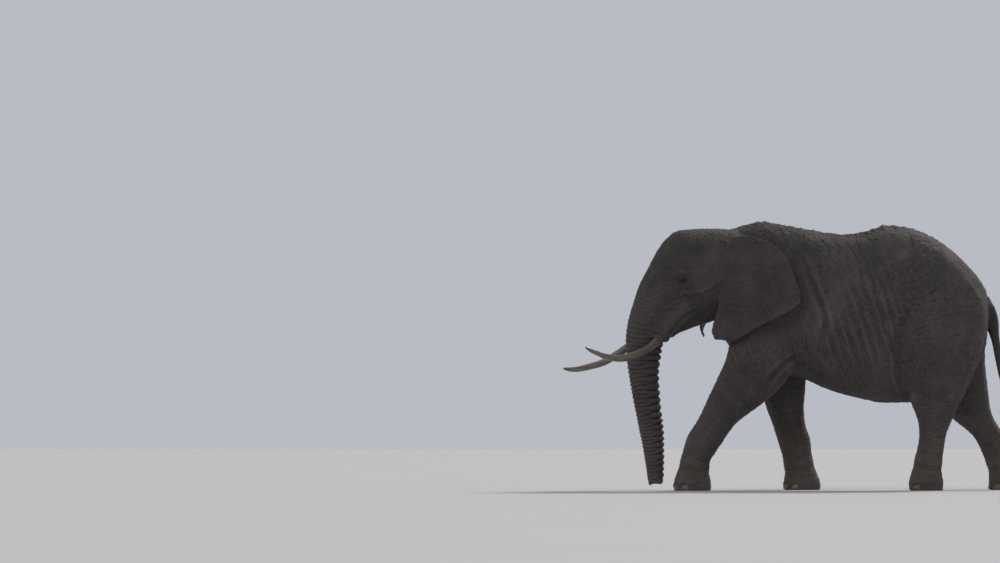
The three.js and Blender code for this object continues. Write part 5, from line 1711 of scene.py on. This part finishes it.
# painted shade in the large hollows, painted highlight on the large bulges
hollow_shading = n.attribute("hollow")
col = n.mix(n.span(hollow_shading, 0.60, 1.05, 0.0, 0.50), col, (0.040, 0.034, 0.032))
col = n.mix(n.span(hollow_shading, 0.46, 0.10, 0.0, 0.35), col, (0.190, 0.168, 0.148))
# painted shade in the fine cracks
col = n.mix(n.math("SUBTRACT", 1.0, lines, clamp=True), col, n.mix(0.42, col, (0.03, 0.026, 0.024)))
# painted shade: the ears are made darker than the rest of the hide
col = n.mix(n.math("MULTIPLY", n.attribute("ears"), 0.30), col, (0.066, 0.050, 0.046))
# painted shade close round the eyes' slits
col = n.mix(n.math("MULTIPLY", n.attribute("lids"), 0.75), col, (0.028, 0.022, 0.020))
height = n.math("ADD", n.math("MULTIPLY", lines, 0.9), n.math("MULTIPLY", grain, 0.5))
hide = n.finish(col, n.span(patch, 0.3, 0.75, 0.78, 0.92), height, distance=0.0028, strength=0.85, Specular_IOR_Level=0.30)
skin.data.materials.append(hide)

n = Nodes("tusk_ivory")
along = n.moved(n.place(), scale=(30, 6, 30), amount=0.02)
v1 = n.noise(1.0, 5, 0.6, vector=along)
crack = n.span(n.noise(1.6, 5, 0.7, vector=n.moved(n.place(), scale=(46, 5, 46), amount=0.03)), 0.485, 0.515, 0.0, 1.0)
crack = n.math("MULTIPLY", n.math("MULTIPLY", crack, n.math("SUBTRACT", 1.0, crack)), 4.0)
stain = n.attribute("stain")
# the ivory's base tone, darker than clean ivory: partly its own brownish stain, partly painted shade
col = n.mix(n.span(v1, 0.35, 0.68), (0.158, 0.136, 0.111), (0.262, 0.229, 0.186))
col = n.mix(n.math("MULTIPLY", stain, n.span(n.noise(9, 5, 0.65), 0.25, 0.65, 0.45, 1.0)), col, (0.080, 0.064, 0.053))
col = n.mix(n.math("MULTIPLY", crack, 0.55), col, (0.16, 0.11, 0.07))
ivory = n.finish(col, n.span(v1, 0.3, 0.7, 0.30, 0.46), n.math("SUBTRACT", n.noise(60, 3, 0.6, vector=n.moved(n.place(), scale=(1, .25, 1))), n.math("MULTIPLY", crack, 0.6)),
                 distance=0.0012, strength=0.6, Coat_Weight=0.10, Coat_Roughness=0.32)

n = Nodes("toenail_horn")
v1 = n.noise(18, 5, 0.6)
lines = n.noise(1.0, 4, 0.6, vector=n.moved(n.place(), scale=(18, 18, 130)))
col = n.mix(n.span(v1, 0.35, 0.68), (0.135, 0.112, 0.090), (0.235, 0.200, 0.160))
col = n.mix(n.span(lines, 0.52, 0.68, 0.0, 0.6), col, (0.095, 0.077, 0.062))
nail = n.finish(col, n.span(v1, 0.3, 0.7, 0.48, 0.68), lines, distance=0.0016, strength=0.7)

n = Nodes("hair_black")
v1 = n.noise(40, 3, 0.6)
hairm = n.finish(n.mix(v1, (0.010, 0.0085, 0.008), (0.030, 0.025, 0.022)), n.span(v1, 0.3, 0.7, 0.48, 0.65), v1, distance=0.0004, strength=0.4, Specular_IOR_Level=0.22)

n = Nodes("eye_amber")
r = n.attribute("polar")
ray = n.noise(1.0, 4, 0.7, vector=n.moved(n.place(), scale=(420, 420, 420)))
iris = n.mix(n.span(ray, 0.36, 0.66), (0.040, 0.020, 0.009), (0.105, 0.058, 0.024))
iris = n.mix(n.span(r, 22.0, 31.0), iris, (0.020, 0.011, 0.006))
col = n.mix(n.span(r, 12.0, 13.6), (0.003, 0.003, 0.003), iris)
col = n.mix(n.span(r, 31.0, 35.0), col, n.mix(n.span(ray, 0.4, 0.7), (0.070, 0.048, 0.040), (0.135, 0.100, 0.085)))
eye_mat = n.finish(col, n.span(ray, 0.3, 0.7, 0.05, 0.09), ray, distance=0.00005, strength=0.2, Coat_Weight=0.30, Coat_Roughness=0.03, Specular_IOR_Level=0.35)
clock("materials")


# ---- eyes ---------------------------------------------------------------------------------
def eyeball(s):
    e, o, f, u = eye_frames[s]
    ang = np.radians(np.concatenate([np.linspace(0, 40, 41)[1:], np.linspace(44, 176, 34)]))
    k = 64
    fi = 2 * math.pi * np.arange(k) / k
    V, pol = [e + o * (EYE_R + 1.2)], [0.0]
    for a in ang:
        bulge = 1.2 * math.exp(-(a / 0.42) ** 2)
        ring = o * math.cos(a) + (np.cos(fi)[:, None] * f + np.sin(fi)[:, None] * u) * math.sin(a)
        V += list(e + ring * (EYE_R + bulge))
        pol += [math.degrees(a)] * k
    V.append(e - o * EYE_R)
    pol.append(180.0)
    F_ = [[0, 1 + j, 1 + (j + 1) % k] for j in range(k)]
    m_ = len(ang)
    for i in range(m_ - 1):
        for j in range(k):
            a0, b0 = 1 + i * k + j, 1 + i * k + (j + 1) % k
            F_.append([a0, a0 + k, b0 + k, b0])
    L_ = 1 + (m_ - 1) * k
    F_ += [[L_ + (j + 1) % k, L_ + j, len(V) - 1] for j in range(k)]
    V = np.array(V)
    ob = new_mesh("eye_left" if s > 0 else "eye_right", V, outward(V, F_))
    store(ob.data, "polar", pol)
    ob.data.materials.append(eye_mat)
    return ob


eyes = {s: eyeball(s) for s in (1, -1)}


# ---- tusks --------------------------------------------------------------------------------
def tusk(rows, name):
    T = table(rows)
    rings_, sides_ = 150, 56
    wob = np.random.RandomState(7 if name.endswith("left") else 9)
    ph = wob.uniform(0, 6, 6)

    def shape(s_, f_):
        r = 1 + 0.012 * np.sin(3 * f_ + ph[0] + 0.4 * s_) + 0.006 * np.sin(7 * f_ + ph[1]) + 0.008 * np.sin(2.3 * s_ + ph[2])
        worn = sstep(np.array([s_]), len(T) - 3.2, len(T) - 1.0)[0]
        return r * (1 - 0.10 * worn * np.clip(np.cos(f_ - 0.6), 0, 1) ** 2) * (1 + 0.010 * worn * np.sin(5 * f_ + 3 * s_))
    V, F_ = tube(T, rings_, sides_, (0, 22), shape=shape)
    ob = new_mesh(name, V, outward(V, F_))
    s_all = np.linspace(0, len(T) - 1, rings_)
    ring_of = np.minimum(np.arange(len(V)) // sides_, rings_ - 1)
    st = 1 - sstep(s_all[ring_of], 2.4, 5.8)
    st = np.clip(st + 0.35 * sstep(s_all[ring_of], len(T) - 2.4, len(T) - 1.2), 0, 1)
    store(ob.data, "stain", st)
    ob.data.materials.append(ivory)
    return ob


tusks = {1: tusk(TUSK_L, "tusk_left"), -1: tusk(TUSK_R, "tusk_right")}

# ---- toenails -----------------------------------------------------------------------------
V_all, F_all, count = [], [], 0
for c, a, s in NAILS:
    side_ = np.array([math.cos(a), math.sin(a), 0])
    out = np.array([math.sin(a), -math.cos(a), 0])
    tilt = 0.26
    upv = np.array([0, 0, 1.0]) * math.cos(tilt) - out * math.sin(tilt)
    outv = out * math.cos(tilt) + np.array([0, 0, 1.0]) * math.sin(tilt)
    K = 40
    g = np.linspace(-1, 1, K)
    X_, Z_ = np.meshgrid(g, g, indexing="ij")
    # a square grid on the ellipse, so that the middle stays even
    xe, ze = X_ * np.sqrt(1 - Z_ ** 2 / 2), Z_ * np.sqrt(1 - X_ ** 2 / 2)
    rr = np.clip(1 - xe ** 2 - ze ** 2, 0, 1)
    low_ = 0.75 * sstep(-Z_, 0.0, 0.7)
    xe, ze = xe + (0.95 * X_ - xe) * low_, ze + (0.95 * Z_ - ze) * low_
    dep = 15 * rr ** 0.45 + 0.5 * np.sin(ze * 15 + 1.2 * np.sin(xe * 3)) * rr ** 0.3 + 0.25 * np.sin(xe * 26) * rr
    pts = c + xe[..., None] * 50 * side_ + ze[..., None] * 41 * upv + (dep + 3)[..., None] * outv
    back = c + xe[..., None] * 50 * side_ + ze[..., None] * 41 * upv - 12 * outv
    pts[..., 2] = np.maximum(pts[..., 2], 5)
    back[..., 2] = np.maximum(back[..., 2], 5)
    idx = np.arange(K * K).reshape(K, K)
    q0 = np.stack([idx[:-1, :-1], idx[1:, :-1], idx[1:, 1:], idx[:-1, 1:]], -1).reshape(-1, 4)
    rim_ = np.concatenate([idx[0, :-1], idx[:-1, -1], idx[-1, :0:-1], idx[:0:-1, 0]])
    nx_ = np.roll(rim_, -1)
    n0 = K * K
    F_ = q0.tolist() + (q0[:, ::-1] + n0).tolist() + np.stack([rim_, nx_, nx_ + n0, rim_ + n0], -1).tolist()
    V_ = np.concatenate([pts.reshape(-1, 3), back.reshape(-1, 3)])
    F_ = outward(V_, F_)
    V_all.append(V_)
    F_all += [[i + count for i in q] for q in F_]
    count += len(V_)
nails = new_mesh("toenails", np.concatenate(V_all), F_all)
nails.data.materials.append(nail)
clock("eyes, tusks, nails")


# ---- hair: tail's brush, bristles ---------------------------------------------------------
def strands(name, paths, radii, roots_uv, sides_=3):
    """Tapered strands, each a path (k, 3), joined as one mesh with its map of small patches."""
    V_, F_, U_ = [], [], []
    n0 = 0
    for path, r0, ruv in zip(paths, radii, roots_uv):
        k = len(path)
        d = np.gradient(path, axis=0)
        d /= np.maximum(np.linalg.norm(d, axis=1, keepdims=True), 1e-9)
        ref = np.array([0.31, 0.87, 0.38])
        a = np.cross(d, ref)
        a /= np.linalg.norm(a, axis=1, keepdims=True)
        b = np.cross(d, a)
        fi = 2 * math.pi * np.arange(sides_) / sides_
        rad = r0 * (1 - 0.8 * np.linspace(0, 1, k) ** 1.5)
        ring = path[:, None] + rad[:, None, None] * (np.cos(fi)[None, :, None] * a[:, None] + np.sin(fi)[None, :, None] * b[:, None])
        V_.append(ring.reshape(-1, 3))
        V_.append(path[-1:] + d[-1:] * r0 * 2)
        for i in range(k - 1):
            for j in range(sides_):
                j2 = (j + 1) % sides_
                F_.append([n0 + i * sides_ + j, n0 + i * sides_ + j2, n0 + (i + 1) * sides_ + j2, n0 + (i + 1) * sides_ + j])
                u0, u1 = ruv[0] + 0.003 * j / sides_, ruv[0] + 0.003 * (j + 1) / sides_
                v0, v1 = ruv[1] + 0.003 * i / k, ruv[1] + 0.003 * (i + 1) / k
                U_ += [u0, v0, u1, v0, u1, v1, u0, v1]
        e = n0 + k * sides_
        for j in range(sides_):
            F_.append([n0 + (k - 1) * sides_ + j, n0 + (k - 1) * sides_ + (j + 1) % sides_, e])
            U_ += [ruv[0] + 0.003 * j / sides_, ruv[1] + 0.003 * (k - 1) / k, ruv[0] + 0.003 * (j + 1) / sides_, ruv[1] + 0.003 * (k - 1) / k, ruv[0] + 0.0015, ruv[1] + 0.003]
        F_.append([n0 + j for j in range(sides_)][::-1])
        U_ += [ruv[0] + 0.0008 * (1 + (j % 2)) for j in range(sides_) for _ in (0, 1)]
        n0 = e + 1
    ob = new_mesh(name, np.concatenate(V_), F_)
    layer = ob.data.uv_layers.new(name="OFBake")
    if len(U_) == 2 * len(ob.data.loops):
        layer.data.foreach_set("uv", np.array(U_, np.float32))
    ob.data.materials.append(hairm)
    return ob


# the brush grows from two rows, on the front and back edges of the tail's end
rs = np.random.RandomState(23)
TT, UU = TAIL_T, table(TUFT)
paths, radii, ruv = [], [], []
n_hair = 620
for k in range(n_hair):
    s0 = rs.uniform(5.9, len(TT) - 1.0) if k < 0.7 * n_hair else rs.uniform(len(TT) - 2.0, len(TT) - 1.0)
    R = at(TT, s0)[0]
    c = np.array([R[4], (R[0] + R[2]) / 2, (R[1] + R[3]) / 2])
    half = math.hypot(R[0] - R[2], R[1] - R[3]) / 2
    ang = rs.choice([0, math.pi]) + rs.normal(0, 0.6) if k < 0.7 * n_hair else rs.uniform(0, 2 * math.pi)
    front_ = np.array([0, R[0] - R[2], R[1] - R[3]])
    front_ /= np.linalg.norm(front_)
    root = c + front_ * math.cos(ang) * half * 0.70 + np.array([1.0, 0, 0]) * math.sin(ang) * R[5] * 0.70
    # the end lies inside the brush's outline, lower for hairs rooted lower
    e0 = np.clip((s0 - 5.9) / (len(TT) - 6.9), 0, 1)
    se = np.clip(1.2 + 2.2 * e0 + rs.normal(0, 0.5), 0.8, len(UU) - 1.0)
    if rs.rand() < 0.25:
        se = rs.uniform(3.2, len(UU) - 1.0)
    E = at(UU, se)[0]
    ce = np.array([E[4], (E[0] + E[2]) / 2, (E[1] + E[3]) / 2])
    he = math.hypot(E[0] - E[2], E[1] - E[3]) / 2
    fe = np.array([0, E[0] - E[2], E[1] - E[3]])
    fe /= np.linalg.norm(fe)
    spread = math.sqrt(rs.rand()) * 0.97
    a2 = ang + rs.normal(0, 0.35)
    end = ce + fe * math.cos(a2) * he * spread + np.array([1.0, 0, 0]) * math.sin(a2) * E[5] * spread
    mid1 = at(UU, max(0.0, se * 0.35))[0]
    cm = np.array([mid1[4], (mid1[0] + mid1[2]) / 2, (mid1[1] + mid1[3]) / 2])
    t = np.linspace(0, 1, 9)[:, None]
    out = (root - c) / np.linalg.norm(root - c)
    m1 = root + (end - root) * 0.35 + out * 14 * rs.uniform(0.2, 1) + rs.normal(0, 3, 3)
    m2 = root + (end - root) * 0.72 + out * 8 * rs.uniform(0, 1) + rs.normal(0, 4, 3)
    path = (1 - t) ** 3 * root + 3 * (1 - t) ** 2 * t * m1 + 3 * (1 - t) * t * t * m2 + t ** 3 * end
    paths.append(path)
    radii.append(rs.uniform(1.3, 2.1))
    ruv.append((0.02 + 0.9 * rs.rand(), 0.02 + 0.9 * rs.rand()))
tail_hair = strands("tail_hair", paths, radii, ruv)

# sparse stiff bristles: chin and lips, crown and back, trunk's front; lashes on the upper lids
NS = S.normals()
paths, radii, ruv = [], [], []


def bristle(i, d, length, r, bend=0.3):
    p = S.V[i] - 2 * NS[i]
    d = d / np.linalg.norm(d)
    t = np.linspace(0, 1, 6)[:, None]
    droop = np.array([0, 0.25, -1.0]) * bend
    paths.append(p + d * length * t + droop * length * t * t)
    radii.append(r)


first_uv = np.zeros((npts, 2))
first_uv[vi[::-1]] = uv[::-1]


def scatter(weight, count_, length, r, lean, bend):
    w = np.clip(weight, 0, 1)
    w = w / w.sum()
    for i in rs.choice(npts, count_, replace=False, p=w):
        d = NS[i] * 0.8 + np.array(lean) * 0.5 + rs.normal(0, 0.18, 3)
        bristle(i, d, length * rs.uniform(0.5, 1.25), r * rs.uniform(0.8, 1.2), bend)
        ruv.append((first_uv[i, 0], first_uv[i, 1]))


few = 1.0
chin = on_head * sstep(-NH[:, 2], 0.2, 0.8) * sstep(-H[:, 1], 1150, 1350) * (1 - sstep(H[:, 2], 2000, 2100))
crown = on_head * sstep(NH[:, 2], 0.4, 0.9) * sstep(H[:, 2], 2750, 2950)
backline = on_body * sstep(N[:, 2], 0.75, 0.97) * np.exp(-(P0[:, 0] / 130) ** 2)
brow = on_head * np.exp(-((H[:, 2] - EYE_AT[2] - 75) / 60) ** 2 - ((H[:, 1] - EYE_AT[1]) / 90) ** 2)
nose_front = on_trunk * sstep(np.cos(A_trunk.th), 0.3, 0.9)
scatter(chin, int(150 * few), 38, 0.5, (0, -0.2, -0.9), 0.35)
scatter(crown, int(200 * few), 34, 0.5, (0, 0.3, 0.2), 0.10)
scatter(backline, int(420 * few), 30, 0.5, (0, 0.5, 0.1), 0.10)
scatter(brow, int(90 * few), 30, 0.5, (0, -0.1, -0.4), 0.2)
scatter(nose_front, int(260 * few), 26, 0.5, (0, -0.2, -0.5), 0.1)
for s in (1, -1):
    e, o, f, u = eye_frames[s]
    for k in range(34):
        a = math.radians(18 + 144 * (k + rs.uniform(0, 1)) / 34)
        p = e + f * math.cos(a) * 21.5 + u * math.sin(a) * 11.5
        dd = np.hypot(math.cos(a) * 21.5, math.sin(a) * 11.5)
        p = p + o * (math.sqrt(max(27.0 ** 2 - dd ** 2, 0)) - 1.5)
        L_ = rs.uniform(20, 30)
        t = np.linspace(0, 1, 6)[:, None]
        paths.append(p + (o * 0.9 + f * 0.35 * math.cos(a) + u * 0.15) * L_ * t + np.array([0, 0, -0.55]) * L_ * t * t)
        radii.append(0.45)
        i = int(((S.V - p) ** 2).sum(1).argmin())
        ruv.append((first_uv[i, 0], first_uv[i, 1]))
bristles = strands("bristles", paths, radii, ruv)
clock("hair")

# ---- each piece goes on the body's root; the part's own stand-ins are hidden -----------------
FLESH = [k for k in NODES if not ("eye" in k or "tusk" in k or k == "tail_tuft")]
for piece in [skin, tail_hair, bristles, nails] + list(eyes.values()) + list(tusks.values()):
    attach(piece, "root")
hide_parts(*FLESH)
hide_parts("tail_tuft")
for s, w in ((1, "left"), (-1, "right")):
    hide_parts(w + "_tusk")
    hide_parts(w + "_eye")

# ---- floor, light ------------------------------------------------------------------------------
bpy.ops.mesh.primitive_plane_add(size=1600)
floor = bpy.context.object
floor.name = "floor"
fm = Nodes("floor_pale")
v1 = fm.noise(0.8, 3, 0.5)
floor.data.materials.append(fm.finish(fm.mix(v1, (0.50, 0.49, 0.49), (0.54, 0.53, 0.53)), fm.span(v1, 0.2, 0.8, 0.88, 0.94)))

world = bpy.data.worlds.new("studio")
bpy.context.scene.world = world
world.use_nodes = True
wt = world.node_tree
wt.nodes.clear()
tc = wt.nodes.new("ShaderNodeTexCoord")
dot = wt.nodes.new("ShaderNodeVectorMath")
dot.operation = "DOT_PRODUCT"
wt.links.new(tc.outputs["Generated"], dot.inputs[0])
dot.inputs[1].default_value = (-0.93, 0.25, 0.25)
mr = wt.nodes.new("ShaderNodeMapRange")
mr.interpolation_type = "SMOOTHSTEP"
wt.links.new(dot.outputs["Value"], mr.inputs[0])
mr.inputs[1].default_value, mr.inputs[2].default_value = -0.75, 0.70
mr.inputs[3].default_value, mr.inputs[4].default_value = 0.36, 1.0
bg = wt.nodes.new("ShaderNodeBackground")
bg.inputs[0].default_value = (0.488, 0.502, 0.552, 1)
mul = wt.nodes.new("ShaderNodeMath")
mul.operation = "MULTIPLY"
wt.links.new(mr.outputs[0], mul.inputs[0])
mul.inputs[1].default_value = 1.0
wt.links.new(mul.outputs[0], bg.inputs[1])
wo = wt.nodes.new("ShaderNodeOutputWorld")
wt.links.new(bg.outputs[0], wo.inputs[0])

sun = bpy.data.objects.new("key", bpy.data.lights.new("key", "SUN"))
sun.data.energy = 2.2
sun.data.angle = 0.25
sun.data.color = (1.0, 0.97, 0.92)
sun.rotation_euler = Vector((-0.80, 0.62, 0.95)).to_track_quat("Z", "Y").to_euler()
bpy.context.scene.collection.objects.link(sun)
fill = bpy.data.objects.new("fill", bpy.data.lights.new("fill", "SUN"))
fill.data.energy = 0.55
fill.data.angle = 0.6
fill.rotation_euler = Vector((0.75, -0.55, 0.80)).to_track_quat("Z", "Y").to_euler()
bpy.context.scene.collection.objects.link(fill)
bpy.context.scene.view_settings.view_transform = "Standard"

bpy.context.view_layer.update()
clock("done")
